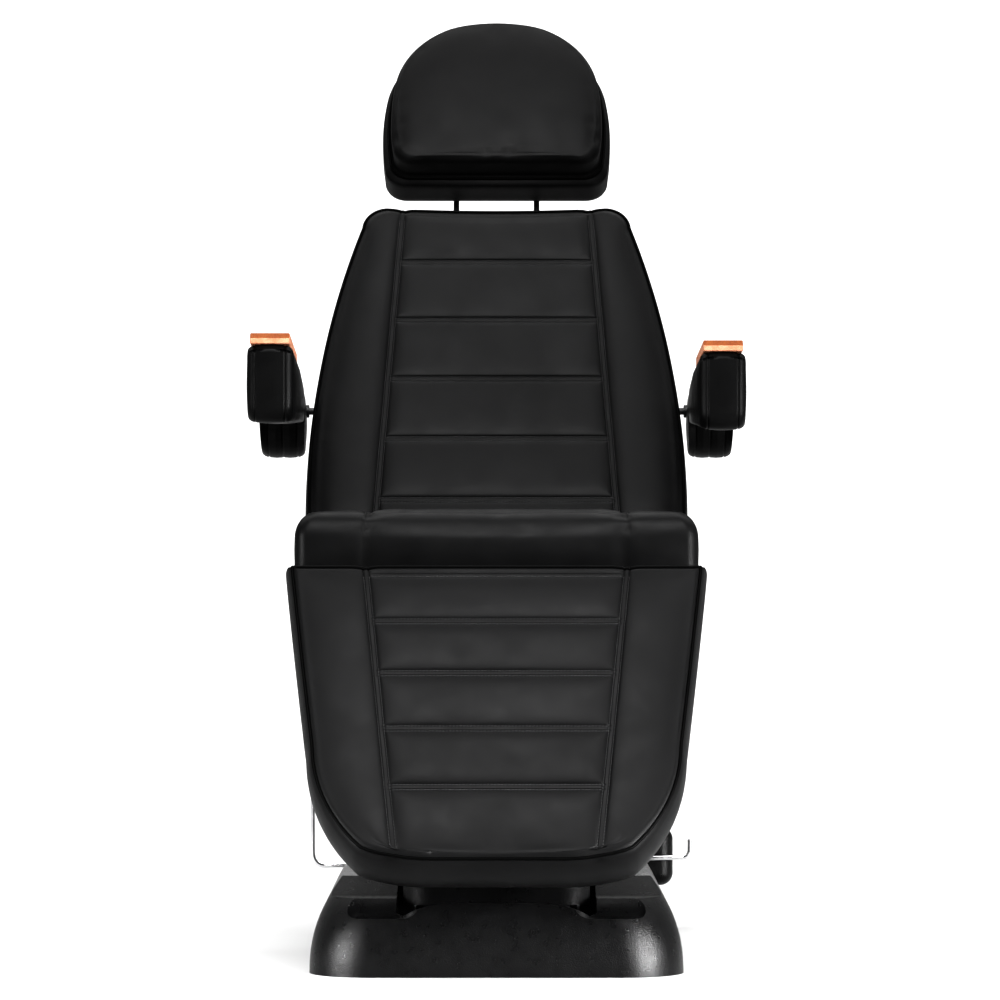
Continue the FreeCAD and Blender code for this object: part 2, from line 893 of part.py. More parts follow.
def base_cover():
    """Moulded bell over the base frame, open above the lift and below, on four posts."""
    wall = float(s.cover_wall)
    outer = cover_loft(0).cut(shoulder_wedge(0))
    inner = cover_loft(wall).cut(shoulder_wedge(wall))
    for side in SIDES:
        outer = outer.cut(scoop(side, 0))
        inner = inner.cut(scoop(side, wall))
    shell = outer.cut(inner).cut(arch_slot())
    slit = float(s.bracket_slit)
    low = Vector(float(s.bracket_inner) - slit, float(bracket_front), float(rail_top) - slit)
    width = float(s.bracket_outer - s.bracket_inner) + 2 * slit
    height = float(s.bracket_thick) + 2 * slit
    slot = Part.makeBox(width, float(s.cover_half_length), height, low)
    node("base_cover", shaped(shell.cut(slot).removeSplitter()))
    posts = []
    top = s.cover_height - s.cover_wall
    reach = s.cover_half_length - s.post_setback
    for side in SIDES:
        for end in (-1, 1):
            x = side * s.post_offset
            posts.append(rod_z(x, end * reach, rail_top, s.post_radius, top - rail_top))
    node("cover_posts", group(*posts))


def control_box():
    """Rounded power unit on a bracket from the right rail, with its mains inlet."""
    width = s.bracket_outer - s.bracket_inner
    front = s.cover_half_length + s.box_clear
    rear = front + s.box_depth
    bar = box(s.bracket_inner, bracket_front, rail_top, width, rear - bracket_front, s.bracket_thick)
    node("control_box_bracket", bar)
    low = rail_top + s.bracket_thick
    corners = [(front, low), (rear, low), (rear, s.box_top), (front, s.box_top)]
    case = plate(corners, s.box_outer - s.box_inner, s.box_corner)
    case.Placement = at(s.box_inner, 0, 0)
    node("control_box", case)
    middle = (s.box_inner + s.box_outer) / 2
    centre = (low + s.box_top) / 2
    body = box(middle - s.inlet_width / 2, rear, centre - s.inlet_height / 2, s.inlet_width,
               s.inlet_depth, s.inlet_height)
    rim = s.inlet_height / 6
    mouth = box(middle - s.inlet_width / 2 + rim, rear + s.inlet_depth / 2, centre - s.inlet_height / 2 + rim,
                s.inlet_width - 2 * rim, s.inlet_depth, s.inlet_height - 2 * rim)
    node("power_inlet", cut(body, mouth))


def carriage():
    """Side plates, upper shafts and cover spacers that rise with the seat."""
    front, rear = upper_pivots
    low = upper_height - s.plate_drop
    corners = [(s.plate_front, seat_frame_bottom), (s.plate_front, s.plate_chin),
               (front - s.plate_drop, low), (rear + s.plate_drop, low),
               (rear + s.plate_drop, upper_height + s.plate_drop), (s.plate_rear, seat_frame_bottom)]
    plates = []
    for side in SIDES:
        x = inner_x(side, s.lug_inner, s.lug_thick)
        sheet = plate(corners, s.lug_thick)
        sheet.Placement = at(x, 0, 0)
        bores = [rod_x(x, y, upper_height, s.pivot_radius + s.play, s.lug_thick) for y in (front, rear)]
        plates.append(cut(sheet, *bores))
    node("carriage_plates", group(*plates))
    node("front_upper_shaft", pivot_shaft(front, upper_height))
    node("rear_upper_shaft", pivot_shaft(rear, upper_height))
    pins = []
    anchors = ((LEFT, s.back_anchor_y, s.back_anchor_z), (RIGHT, s.leg_anchor_y, s.leg_anchor_z))
    for side, y, z in anchors:
        inner = s.ram_lane - s.ram_eye_half
        length = s.lug_inner - inner
        pins.append(rod_x(inner_x(side, inner, length), y, z, s.ram_pin, length))
    node("actuator_pins", group(*pins))


def lift_cover():
    """Tapered skirt round the lift, with a low apron in front, on four spacers off the side plates."""
    skirt_rear = float(upper_pivots[1] + s.skirt_clear)
    wires = {}
    for name, wall in (("outer", 0), ("inner", float(s.skirt_wall))):
        pair = []
        for z, half, front in ((s.apron_bottom, s.skirt_half_bottom, apron_front),
                               (s.skirt_top, s.skirt_half_top, s.skirt_front_top)):
            pair.append(rounded_rect(float(half) - wall, float(front) + wall, skirt_rear - wall,
                                     float(s.skirt_corner) - wall, float(z)))
        wires[name] = Part.makeLoft(pair, True, True)
    behind = float(apron_front + s.apron_depth)
    wide = float(s.skirt_half_top)
    opening = Part.makeBox(2 * wide, 2 * skirt_rear, float(s.skirt_bottom), Vector(-wide, behind, 0))
    node("lift_cover", shaped(wires["outer"].cut(wires["inner"]).cut(opening)))
    height = float(s.skirt_top - s.apron_bottom)
    slope = float(s.skirt_half_top - s.skirt_half_bottom) / height
    spacers = []
    z = float(s.plate_chin)
    radius = float(s.hinge_pin)
    wall_x = float(s.skirt_half_bottom - s.skirt_wall) + slope * (z - radius - float(s.apron_bottom))
    length = wall_x - float(s.gap) - float(lug_outer)
    for side in SIDES:
        for y in (s.plate_front + 3 * s.hinge_pin, s.plate_rear):
            bar = rod_x(inner_x(side, lug_outer, as_size(length)), y, z, s.hinge_pin, length)
            spacers.append(bar)
    node("lift_cover_spacers", group(*spacers))


def seat_frame():
    """Seat rails with the hinge lugs of back and legrest, cross members and hinge pins."""
    rails = []
    back_pins = []
    leg_pins = []
    middle = float(s.seat_frame_top - s.rail_height / 2)
    lug_root = float(s.seat_frame_top - s.rail_height / 2 - s.hinge_radius / 3)
    for side in SIDES:
        tube = rect_tube(s.rail_width, s.rail_height, s.rail_wall, s.seat_rail_rear - s.seat_rail_front, "Y")
        tube.Placement = at(side * s.seat_rail_offset, s.seat_rail_front, middle)
        x = inner_x(side, hinge_inner, s.hinge_thick)
        roots = (float(s.seat_rail_rear - s.hinge_radius / 2), float(s.seat_rail_front + s.hinge_radius / 2))
        lugs = []
        for root, pivot in zip(roots, (back_pivot, leg_pivot)):
            bar = link(x, s.hinge_thick, (root, lug_root), pivot, s.hinge_radius)
            lugs.append(cut(bar, rod_x(x, pivot[0], pivot[1], s.hinge_pin, s.hinge_thick)))
        rails.append(fuse(tube, *lugs))
        for pivot, pins in ((back_pivot, back_pins), (leg_pivot, leg_pins)):
            length = 2 * s.hinge_thick + 2 * s.gap
            pin = rod_x(inner_x(side, hinge_inner, length), pivot[0], pivot[1], s.hinge_pin, length)
            head = rod_x(inner_x(side, hinge_inner + length, s.shaft_head), pivot[0], pivot[1],
                         s.hinge_pin + s.shaft_head, s.shaft_head)
            pins.append(fuse(pin, head))
    node("seat_rails", group(*rails))
    node("back_hinge_pins", group(*back_pins))
    node("leg_hinge_pins", group(*leg_pins))
    span = 2 * s.seat_rail_offset - s.rail_width
    bars = []
    for end in (-1, 1):
        tube = rect_tube(s.rail_width, s.rail_height, s.rail_wall, span, "X")
        tube.Placement = at(-span / 2, end * s.seat_cross_reach, middle)
        bars.append(tube)
    node("seat_cross_members", group(*bars))


def seat():
    """Seat board and the boxed cushion with its high front edge and three panels."""
    inset = s.seat_board_thick
    width = 2 * s.seat_half - 4 * inset
    depth = s.seat_rear - s.seat_front - 3 * inset
    board = box(-width / 2, s.seat_front + inset, s.seat_frame_top, width, depth, s.seat_board_thick)
    node("seat_board", board)

    front = float(s.seat_front)
    rear = float(s.seat_rear)
    half = float(s.seat_half)
    low = float(seat_bottom)
    run = rear - front
    drop = float(s.seat_crest - s.seat_back_height)
    level = float(s.seat_level_share)
    tuck = float(s.seat_tuck)
    dome = float(s.seat_dome)
    corner = float(s.seat_corner)
    swing = corner * (1 - math.sqrt(0.5))
    wires = []
    for share, draw, sink in SEAT_SECTIONS:
        top = float(s.seat_crest) - drop * max(0, (share - level) / (1 - level)) - corner * sink
        side = half - corner * draw
        bottom = low + corner * draw / 2
        waist = (bottom + top - corner) / 2
        outline = [((tuck - side, bottom),), ((side - tuck, bottom),),
                   ((side - tuck / 6, waist), (side, top - corner)),
                   ((side - swing, top - swing), (side - corner, top)),
                   ((0, top + dome), (corner - side, top)),
                   ((swing - side, top - swing), (-side, top - corner)),
                   ((tuck / 6 - side, waist), (tuck - side, bottom))]
        y = front + share * run
        wires.append(Part.Wire(outline_edges(outline, lambda p: Vector(p[0], y, p[1]))))
    cushion = Part.makeLoft(wires, True, True)
    run_out = float(s.seam_run_out)
    for side in SIDES:
        x = side * float(s.seat_panel)
        lift = float(s.seam_radius - s.seam_depth + s.seat_dome)
        start = Vector(x, front - run_out, float(s.seat_crest) + lift)
        end = Vector(x, rear + run_out, float(s.seat_back_height) + lift)
        cushion = cushion.cut(rod_shape(start, end, float(s.seam_radius)))
    seam = Vector(-half, front - float(s.seam_radius - s.seam_depth), float(s.seat_crest) - corner)
    cushion = cushion.cut(rod_shape(seam, Vector(half, seam.y, seam.z), float(s.seam_radius)))
    node("seat_cushion", shaped(cushion))


def rod_shape(start, end, radius):
    """Round bar shape between two points."""
    return Part.makeCylinder(radius, (end - start).Length, start, end - start)


def sewn_channels(cushion, heights, panel, ends):
    """Cushion with cross seams at heights between two lengthwise seams."""
    y = float(s.seam_depth - s.seam_radius - s.crown)
    radius = float(s.seam_radius)
    for z in heights:
        half = panel(z)
        cushion = cushion.cut(rod_shape(Vector(-half, y, z), Vector(half, y, z), radius))
    for side in SIDES:
        start = Vector(side * panel(ends[0]), y, ends[0])
        end = Vector(side * panel(ends[1]), y, ends[1])
        cushion = cushion.cut(rod_shape(start, end, radius))
    return cushion


def back_outline():
    """Outline of the backrest, narrowing in an arc to round shoulders."""
    low = float(s.back_half_low)
    high = float(s.back_half_high)
    flat = float(s.back_half_top)
    shoulder = float(s.back_shoulder)
    top = float(s.back_top)
    corner = corner_mid((flat, shoulder), (high - flat, top - shoulder))
    return mirrored([((0, float(s.back_bottom)),), ((low, float(s.back_bottom)),),
                     ((float(s.back_half_mid), float(s.back_mid)), (high, shoulder)), (corner, (flat, top))])


def cushion_levels(thick, belly):
    """Depth and inset of each loft section of a crowned cushion, from its board to its crown."""
    edge = float(s.cushion_edge)
    run = float(s.crown_run)
    body = [(thick * share, edge * draw - belly * swell) for share, draw, swell in CUSHION_SECTIONS]
    return body + [(-float(s.crown) * share, run * draw) for share, draw in CROWN_SECTIONS]


def backrest():
    """Back frame, board and the cushion with its sewn cross channels."""
    outline = back_outline()
    thick = float(s.back_thick)
    cushion = pillow(outline, cushion_levels(thick, 0))
    low = float(s.back_bottom)
    high = float(s.back_top)

    def panel(z):
        share = (z - low) / (high - low)
        return float(s.back_panel_low) + share * float(s.back_panel_high - s.back_panel_low)

    seams = [float(s.back_first_seam + i * s.back_seam_pitch) for i in range(CROSS_SEAMS)]
    run_out = float(s.seam_run_out)
    cushion = sewn_channels(cushion, seams, panel, (low - run_out, high + run_out))
    node("back_cushion", placed(shaped(cushion), back_place))
    board = slab(outline, float(s.back_board_inset), thick, float(back_total))
    node("back_board", placed(shaped(board), back_place))

    rails = []
    middle = back_total + s.tube / 2
    start = s.back_cross_low - s.tube / 2
    for side in SIDES:
        x = inner_x(side, knuckle_inner, s.hinge_thick)
        tube = rect_tube(s.tube, s.tube, s.tube_wall, s.back_rail_top - start, "Z")
        tube.Placement = at(inner_x(side, knuckle_inner, s.tube) + s.tube / 2, middle, start)
        hub = (float(s.back_pivot_depth), float(s.back_pivot_up))
        elbow = (float(middle), float(s.back_pivot_up))
        arm = link(x, s.hinge_thick, hub, elbow, s.hinge_radius)
        arm = cut(arm, rod_x(x, hub[0], hub[1], s.hinge_pin + s.play, s.hinge_thick))
        neck = link(x, s.hinge_thick, elbow, (float(middle), float(start)), s.tube / 2, round_end=False)
        rails.append(fuse(tube, arm, neck))
    node("back_rails", placed(group(*rails), back_place))

    span = 2 * knuckle_inner
    bars = []
    for up in (s.back_cross_low, s.back_cross_high):
        tube = rect_tube(s.tube, s.tube, s.tube_wall, span, "X")
        tube.Placement = at(-span / 2, middle, up)
        bars.append(tube)
    node("back_cross_members", placed(group(*bars), back_place))

    local = back_place.inverse().multVec(Vector(0, back_pin[0], back_pin[1]))
    foot = float(s.back_cross_low - s.tube / 2)
    root = [(float(middle + end * s.lever_radius), foot) for end in (-1, 1)]
    node("back_actuator_lever", placed(lever(LEFT, root, (local.y, local.z)), back_place))
    bolts = []
    for side in SIDES:
        inner = knuckle_inner + s.tube
        length = s.armrest_inner + s.bolt_bite - inner
        shank = rod_x(inner_x(side, inner, length), middle, s.bolt_up, s.bolt_radius, length)
        collar_start = s.armrest_inner - s.gap - s.collar_length
        collar = rod_x(inner_x(side, collar_start, s.collar_length), middle, s.bolt_up, s.collar_radius,
                       s.collar_length)
        bolts.append(fuse(shank, collar))
    node("armrest_bolts", placed(group(*bolts), back_place))


def lever(side, root, pin):
    """Two tapered plates from the face of a cross member to a cross pin, for an actuator's eye."""
    middle = side * s.ram_lane
    ears = []
    for half in SIDES:
        x = middle + inner_x(half, s.lever_gap, s.lever_thick)
        blade = plate([(as_size(y), as_size(z)) for y, z in ear_corners(root, pin)], s.lever_thick)
        blade.Placement = at(x, 0, 0)
        ears.append(fuse(blade, rod_x(x, pin[0], pin[1], s.lever_radius, s.lever_thick)))
    reach = s.lever_gap + s.lever_thick
    return fuse(*ears, rod_x(middle - reach, pin[0], pin[1], s.ram_pin, 2 * reach))


def ear_corners(root, pin):
    """Corners of a blade between a root edge and the sides of the round eye at its pin."""
    near, far = (Vector(0, y, z) for y, z in root)
    goal = Vector(0, pin[0], pin[1])
    run = (goal - (near + far) / 2).normalize()
    across = Vector(1, 0, 0).cross(run) * float(s.lever_radius)
    if across.dot(far - near) < 0:
        across = -across
    return [(p.y, p.z) for p in (near, far, goal + across, goal - across)]


def headrest():
    """Rounded head pad on a board, with two rods that slide in guides on the back board."""
    low = float(s.head_bottom)
    half = float(s.head_half)
    corner = float(s.head_corner)
    cheek = (float(s.head_cheek_half), float(s.head_cheek))
    temple = (float(s.head_temple_half), float(s.head_temple))
    brow = (float(s.head_brow_half), float(s.head_brow))
    top = float(s.head_top)
    chin = half - corner / 8
    round_chin = corner_mid((chin - corner, low + corner), (corner, -corner))
    forehead = (brow[0] / 2, top - (top - brow[1]) / 4)
    outline = mirrored([((0, low),), ((chin - corner, low),), (round_chin, (chin, low + corner)),
                        ((half, float(s.head_widest)), cheek), (temple, brow), (forehead, (0, top))])
    thick = float(s.head_thick)
    node("headrest_pad", placed(shaped(pillow(outline, cushion_levels(thick, 0))), back_place))
    board = slab(outline, float(s.head_board_inset), thick, thick + float(s.head_board_thick))
    node("headrest_board", placed(shaped(board), back_place))

    depth = back_total + s.guide_half
    rods = []
    guides = []
    clamps = []
    board_rear = s.head_thick + s.head_board_thick
    for side in SIDES:
        x = side * s.rod_offset
        rods.append(rod_z(x, depth, s.rod_bottom, s.rod_radius, s.rod_top - s.rod_bottom))
        sleeve = box(x - s.guide_half, back_total, s.guide_bottom, 2 * s.guide_half, 2 * s.guide_half,
                     s.guide_top - s.guide_bottom)
        bore = rod_z(x, depth, s.guide_bottom, s.rod_radius + s.play, s.guide_top - s.guide_bottom)
        guides.append(cut(sleeve, bore))
        block = box(x - s.guide_half, board_rear, s.clamp_bottom, 2 * s.guide_half,
                    depth + s.guide_half - board_rear, s.clamp_height)
        seat_bore = rod_z(x, depth, s.clamp_bottom, s.rod_radius + s.play, s.clamp_height)
        clamps.append(cut(block, seat_bore))
    node("headrest_rods", placed(group(*rods), back_place))
    node("headrest_guides", placed(group(*guides), back_place))
    node("headrest_clamps", placed(group(*clamps), back_place))


def leg_outline():
    """Outline of the legrest: bowed sides that turn in over a knee and a heel to a broad end."""
    end = -float(s.leg_length)
    toe = (float(s.leg_toe_half), end)
    heel = (float(s.leg_heel_half), -float(s.leg_heel))
    sole = ((toe[0] + heel[0]) / 2, end - (end - heel[1]) / 4)
    calf = (float(s.leg_calf_half), -float(s.leg_calf))
    knee = (float(s.leg_knee_half), -float(s.leg_knee))
    side = (float(s.leg_side_half), -float(s.leg_side))
    return mirrored([((0, end),), (toe,), (sole, heel), (calf, knee), (side, (float(s.leg_half_top), 0))])


def legrest():
    """Leg frame, board and the cushion with its sewn cross channels."""
    outline = leg_outline()
    thick = float(s.leg_thick)
    cushion = pillow(outline, cushion_levels(thick, float(s.leg_belly)))
    length = float(s.leg_length)

    def panel(z):
        share = -z / length
        return float(s.leg_panel_top) + share * float(s.leg_panel_bottom - s.leg_panel_top)

    seams = []
    for i in range(CROSS_SEAMS):
        seams.append(-float(s.leg_first_seam + i * s.leg_seam_pitch + i * (i - 1) / 2 * s.leg_seam_growth))
    run_out = float(s.seam_run_out)
    cushion = sewn_channels(cushion, seams, panel, (run_out, -length - run_out))
    node("leg_cushion", placed(shaped(cushion), leg_place))
    board = slab(outline, float(s.leg_board_inset), thick, float(leg_total))
    node("leg_board", placed(shaped(board), leg_place))

    rails = []
    middle = leg_total + s.tube / 2
    start = s.leg_cross_high - s.tube
    hub = (float(s.leg_pivot_depth), -float(s.leg_pivot_down))
    for side in SIDES:
        x = inner_x(side, knuckle_inner, s.hinge_thick)
        tube = rect_tube(s.tube, s.tube, s.tube_wall, s.leg_rail_bottom - start, "Z")
        tube.Placement = at(inner_x(side, knuckle_inner, s.tube) + s.tube / 2, middle, -s.leg_rail_bottom)
        arm = link(x, s.hinge_thick, hub, (float(middle), -float(start)), s.tube / 2, round_end=False)
        eye = rod_x(x, hub[0], hub[1], s.hinge_radius, s.hinge_thick)
        bore = rod_x(x, hub[0], hub[1], s.hinge_pin + s.play, s.hinge_thick)
        rails.append(fuse(tube, cut(fuse(arm, eye), bore)))
    node("leg_rails", placed(group(*rails), leg_place))

    span = 2 * knuckle_inner
    bars = []
    for down in (s.leg_cross_high, s.leg_cross_low):
        tube = rect_tube(s.tube, s.tube, s.tube_wall, span, "X")
        tube.Placement = at(-span / 2, middle, -down)
        bars.append(tube)
    node("leg_cross_members", placed(group(*bars), leg_place))
    local = leg_place.inverse().multVec(Vector(0, leg_pin[0], leg_pin[1]))
    foot = float(leg_total + s.tube)
    root = [(foot, -float(s.leg_cross_high + end * s.lever_radius)) for end in (1, -1)]
    node("leg_actuator_lever", placed(lever(RIGHT, root, (local.y, local.z)), leg_place))


def armrest(side, name, droop):
    """Padded arm with a wooden top, on the bolt at the side of the backrest."""
    front = float(s.armrest_front)
    nose_top = float(s.armrest_nose_top)
    nose_low = float(s.armrest_nose_bottom)
    bevel = float(s.armrest_edge)
    nose = float(s.armrest_nose_round)
    chin = nose_low + nose
    swing = nose * (1 - math.sqrt(0.5))
    rear_low = float(s.armrest_rear_bottom)
    rear_top = float(s.armrest_rear_top)
    radius = (rear_top - rear_low) / 2
    rear = float(s.armrest_rear)
    shoulder = (float(s.armrest_shoulder), float(s.armrest_shoulder_top))
    hub = rear_low + radius
    hip = corner_mid((rear - radius, hub), (-radius, -radius))
    outline = [((front, chin),), ((front + swing, nose_low + swing), (front + nose, nose_low)),
               ((rear - 2 * radius, hub),), (hip, (rear - radius, rear_low)),
               ((rear, hub), (rear - radius, rear_top)), (shoulder,),
               ((front + bevel / 2, nose_top),), ((front, nose_top - bevel / 2),), ((front, chin),)]
    width = float(s.armrest_width)
    inner = float(s.armrest_inner)
    outer = inner + width
    slack = bevel / 8
    levels = [(inner, bevel), (inner + bevel, slack), (inner + width / 2, 0), (outer - bevel, slack),
              (outer, bevel)]
    if side == LEFT:
        levels = [(-x, inset) for x, inset in levels]
    bore_start = inner_x(side, s.armrest_inner, s.bolt_bite + s.gap)
    bore = rod_x(bore_start, bolt_place[0], bolt_place[1], s.bolt_radius + s.play, s.bolt_bite + s.gap)
    tilt = Placement(Vector(), Rotation(Vector(1, 0, 0), droop), Vector(0, bolt_place[0], bolt_place[1]))
    pad = cut(shaped(pillow(outline, levels, "X")), bore)
    node(f"{name}_armrest_pad", placed(pad, tilt))

    lead = bevel / 2
    slope = math.atan2(shoulder[1] - nose_top, shoulder[0] - front - lead)
    zero = as_size(0)
    corners = [(zero, zero), (s.wood_length, zero), (s.wood_length, s.wood_thick),
               (s.wood_bevel, s.wood_thick), (zero, s.wood_thick - s.wood_bevel)]
    top = plate(corners, s.wood_width, s.wood_edge)
    lateral = inner_x(side, s.armrest_inner + (s.armrest_width - s.wood_width) / 2, s.wood_width)
    seat_place = at(lateral, front + lead, nose_top, Rotation(Vector(1, 0, 0), math.degrees(slope)))
    seat_place = seat_place.multiply(at(0, -lead, s.gap))
    node(f"{name}_armrest_top", placed(top, tilt.multiply(seat_place)))


def actuator(name, lane, anchor, pin, tube_end, slot, motor_side, retract=0):
    """Linear actuator between an anchor pin and a moving pin, as a housing and a sliding rod.

    slot holds the eye's half length across the rod, its play round the pin, and the shift of its
    middle across and along the rod. motor_side is the way the motor lies, across or below. retract
    is how far the rod draws in from its place at rest.
    """
    half_slot, slot_play, shift, draw = slot
    run = math.hypot(pin[0] - anchor[0], pin[1] - anchor[1])
    angle = math.atan2(pin[1] - anchor[1], pin[0] - anchor[0])
    place = Placement(Vector(float(lane), anchor[0], anchor[1]), side_turn(angle))
    eye_width = 2 * s.ram_eye_half
    eye = rod_z(0, 0, -s.ram_eye_half, s.ram_eye, eye_width)
    neck = box(0, -s.ram_eye_half, -s.ram_eye_half, s.ram_case_start + s.gap, eye_width, eye_width)
    hole = rod_z(0, 0, -s.ram_eye_half, s.ram_pin + s.play, eye_width)
    half = s.ram_case_half
    depth = s.ram_case_end - s.ram_case_start
    reach = s.motor_offset + s.motor_radius + s.rail_wall
    if motor_side == "across":
        case = box(s.ram_case_start, -half, -half, depth, 2 * half, half + reach)
        motor_at = Vector(float(s.ram_case_end), 0, float(s.motor_offset))
    else:
        case = box(s.ram_case_start, -reach, -half, depth, half + reach, 2 * half)
        motor_at = Vector(float(s.ram_case_end), -float(s.motor_offset), 0)
    motor = rod_between(motor_at, motor_at + Vector(float(s.motor_length), 0, 0), s.motor_radius)
    axis = Vector(1, 0, 0)
    sleeve = rod_between(axis * float(s.ram_case_end), axis * float(tube_end), s.ram_tube)
    bore_start = float(s.ram_case_start) + 2 * float(s.rail_wall)
    bore = rod_between(axis * bore_start, axis * float(tube_end + s.gap), s.ram_rod + s.play)
    housing = cut(fuse(eye, neck, case, motor, sleeve), hole, bore)
    node(f"{name}_actuator", placed(housing, place))

    centre = run + float(draw)
    outer = s.ram_eye
    fork = slotted(centre, float(shift), half_slot, outer, eye_width)
    gap = slotted(centre, float(shift), half_slot, s.ram_pin + slot_play, eye_width)
    rod_start = bore_start + float(s.rail_wall) + float(retract)
    bar = rod_between(axis * rod_start, axis * (centre - float(outer) / 2), s.ram_rod)
    node(f"{name}_actuator_rod", placed(cut(fuse(bar, fork), gap), place))


def slotted(x, y, half, radius, width):
    """Block with round ends across the rod, for an eye or the slot in it."""
    block = box(x - float(radius), y - float(half), -width / 2, 2 * as_size(radius), 2 * half, width)
    ends = [rod_z(x, y + turn * float(half), -width / 2, radius, width) for turn in (-1, 1)]
    return fuse(block, *ends)


def actuators():
    """The three drives: lift, back and legrest."""
    lift_slot = (s.lift_slot, s.lift_slot_play, s.lift_slot_shift, s.lift_slot_draw)
    lift_anchor = (float(s.lift_anchor), float(s.pivot_height))
    actuator("lift", 0, lift_anchor, lift_pin, s.lift_tube, lift_slot, "across")
    back_slot = (s.back_slot, s.back_slot_play, s.back_slot_shift, s.back_slot_draw)
    back_anchor = (float(s.back_anchor_y), float(s.back_anchor_z))
    actuator("back", -s.ram_lane, back_anchor, back_pin, s.back_tube, back_slot, "below", s.back_retract)
    leg_slot = (s.leg_slot, s.leg_slot_play, s.leg_slot_shift, s.leg_slot_draw)
    leg_anchor = (float(s.leg_anchor_y), float(s.leg_anchor_z))
    actuator("leg", s.ram_lane, leg_anchor, leg_pin, s.leg_tube, leg_slot, "below")


def bent_wire(points, bends):
    """Straight runs joined by tangent arcs, one radius for each inner point."""
    edges = []
    here = points[0]
    for before, corner, after, radius in zip(points, points[1:], points[2:], bends):
        back = (before - corner).normalize()
        onward = (after - corner).normalize()
        turn = math.pi - back.getAngle(onward)
        reach = radius * math.tan(turn / 2)
        enter = corner + back * reach
        leave = corner + onward * reach
        inward = (back + onward).normalize()
        mid = corner + inward * (radius / math.cos(turn / 2) - radius)
        edges.append(Part.LineSegment(here, enter).toShape())
        edges.append(Part.Arc(enter, mid, leave).toShape())
        here = leave
    edges.append(Part.LineSegment(here, points[-1]).toShape())
    return Part.Wire(edges)


def roll_holder():
    """Chromed paper roll holder: one bent rod with a turned-up end, in a block under the seat."""
    x = -float(s.wire_side)
    y = float(wire_rear)
    z = float(s.wire_height)
    low = float(s.wire_low)
    end = float(s.wire_end)
    rise = low + float(s.wire_rise)
    start = Vector(x, float(s.wire_start), z)
    tip = Vector(end, y, float(s.wire_hook))
    points = [start, Vector(x, y, z), Vector(x, y, low), Vector(end, y, rise), tip]
    bend = float(s.wire_bend)
    path = bent_wire(points, (bend, bend, float(s.wire_hook_bend)))
    ring = Part.Circle(start, Vector(0, 1, 0), float(s.wire_radius)).toShape()
    rod = path.makePipeShell([Part.Wire(ring)], True, False)
    node("roll_holder", shaped(rod))

    half = s.holder_half
    plate_low = seat_frame_bottom - s.holder_plate
    reach = s.wire_side + half - (s.seat_rail_offset - s.rail_width / 2)
    flat = box(-(s.wire_side + half), s.holder_front, plate_low, reach, s.holder_length, s.holder_plate)
    block = box(-(s.wire_side + half), s.holder_front, s.wire_height - half, 2 * half, s.holder_length,
                plate_low - s.wire_height + half)
    bore = rod_between(start, Vector(x, y, z), s.wire_radius + s.play)
    node("roll_holder_block", cut(fuse(flat, block), bore))


def write_parts():
    """Test every piece and write each to its own file."""
    doc.recompute()
    for piece in doc.Objects:
        if "Invalid" in piece.State or "Error" in piece.State:
            raise RuntimeError(f"{piece.Label} failed")
    for piece in nodes:
        if piece.Shape.isNull() or not piece.Shape.isValid() or not piece.Shape.Solids:
            raise RuntimeError(f"{piece.Label} has no valid solid")
    os.makedirs("parts", exist_ok=True)
    for piece in nodes:
        piece.Shape.exportStep(f"parts/{piece.Label}.step")
        print(piece.Label, len(piece.Shape.Solids), round(piece.Shape.Volume / 1000, 1), "cm3")


base_frame()
pivot_lugs()
lift_arms()
base_cover()
control_box()
carriage()
lift_cover()
seat_frame()
seat()
backrest()
headrest()
legrest()
armrest(LEFT, "left", 0)
armrest(RIGHT, "right", float(s.armrest_droop_angle))
actuators()
roll_holder()
write_parts()
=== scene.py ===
import logging
import math
from abc import ABC, abstractmethod
from dataclasses import dataclass, field
from enum import Enum

import bpy
import numpy as np
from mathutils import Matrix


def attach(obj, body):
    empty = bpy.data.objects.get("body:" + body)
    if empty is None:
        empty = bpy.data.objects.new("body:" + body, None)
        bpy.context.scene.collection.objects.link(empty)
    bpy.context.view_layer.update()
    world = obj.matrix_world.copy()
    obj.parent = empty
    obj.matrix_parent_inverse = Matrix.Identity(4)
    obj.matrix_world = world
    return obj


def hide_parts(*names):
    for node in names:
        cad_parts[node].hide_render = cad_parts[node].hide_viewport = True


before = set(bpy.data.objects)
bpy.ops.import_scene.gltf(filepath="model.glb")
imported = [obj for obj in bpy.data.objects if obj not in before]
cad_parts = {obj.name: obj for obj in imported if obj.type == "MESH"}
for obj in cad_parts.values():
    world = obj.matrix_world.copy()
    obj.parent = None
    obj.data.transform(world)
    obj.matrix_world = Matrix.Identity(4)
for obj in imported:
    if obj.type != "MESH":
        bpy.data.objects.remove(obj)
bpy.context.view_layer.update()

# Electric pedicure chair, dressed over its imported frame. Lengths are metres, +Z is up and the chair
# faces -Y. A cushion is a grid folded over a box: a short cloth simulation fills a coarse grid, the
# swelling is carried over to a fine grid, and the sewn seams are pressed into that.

Array = np.ndarray
Point = tuple[float, float]
Panel = tuple[Point, Point]
Triple = tuple[float, float, float]
Pair = tuple[Array, Array]
Material = bpy.types.Material
Socket = bpy.types.NodeSocket
LOG = logging.getLogger("chair")

# Leaning faces: their lean in degrees, and Y and Z of their origins.
BACK_LEAN = 33.0
BACK_FOOT = (0.180, 0.600)
LEG_TOP = (-0.3338, 0.622)

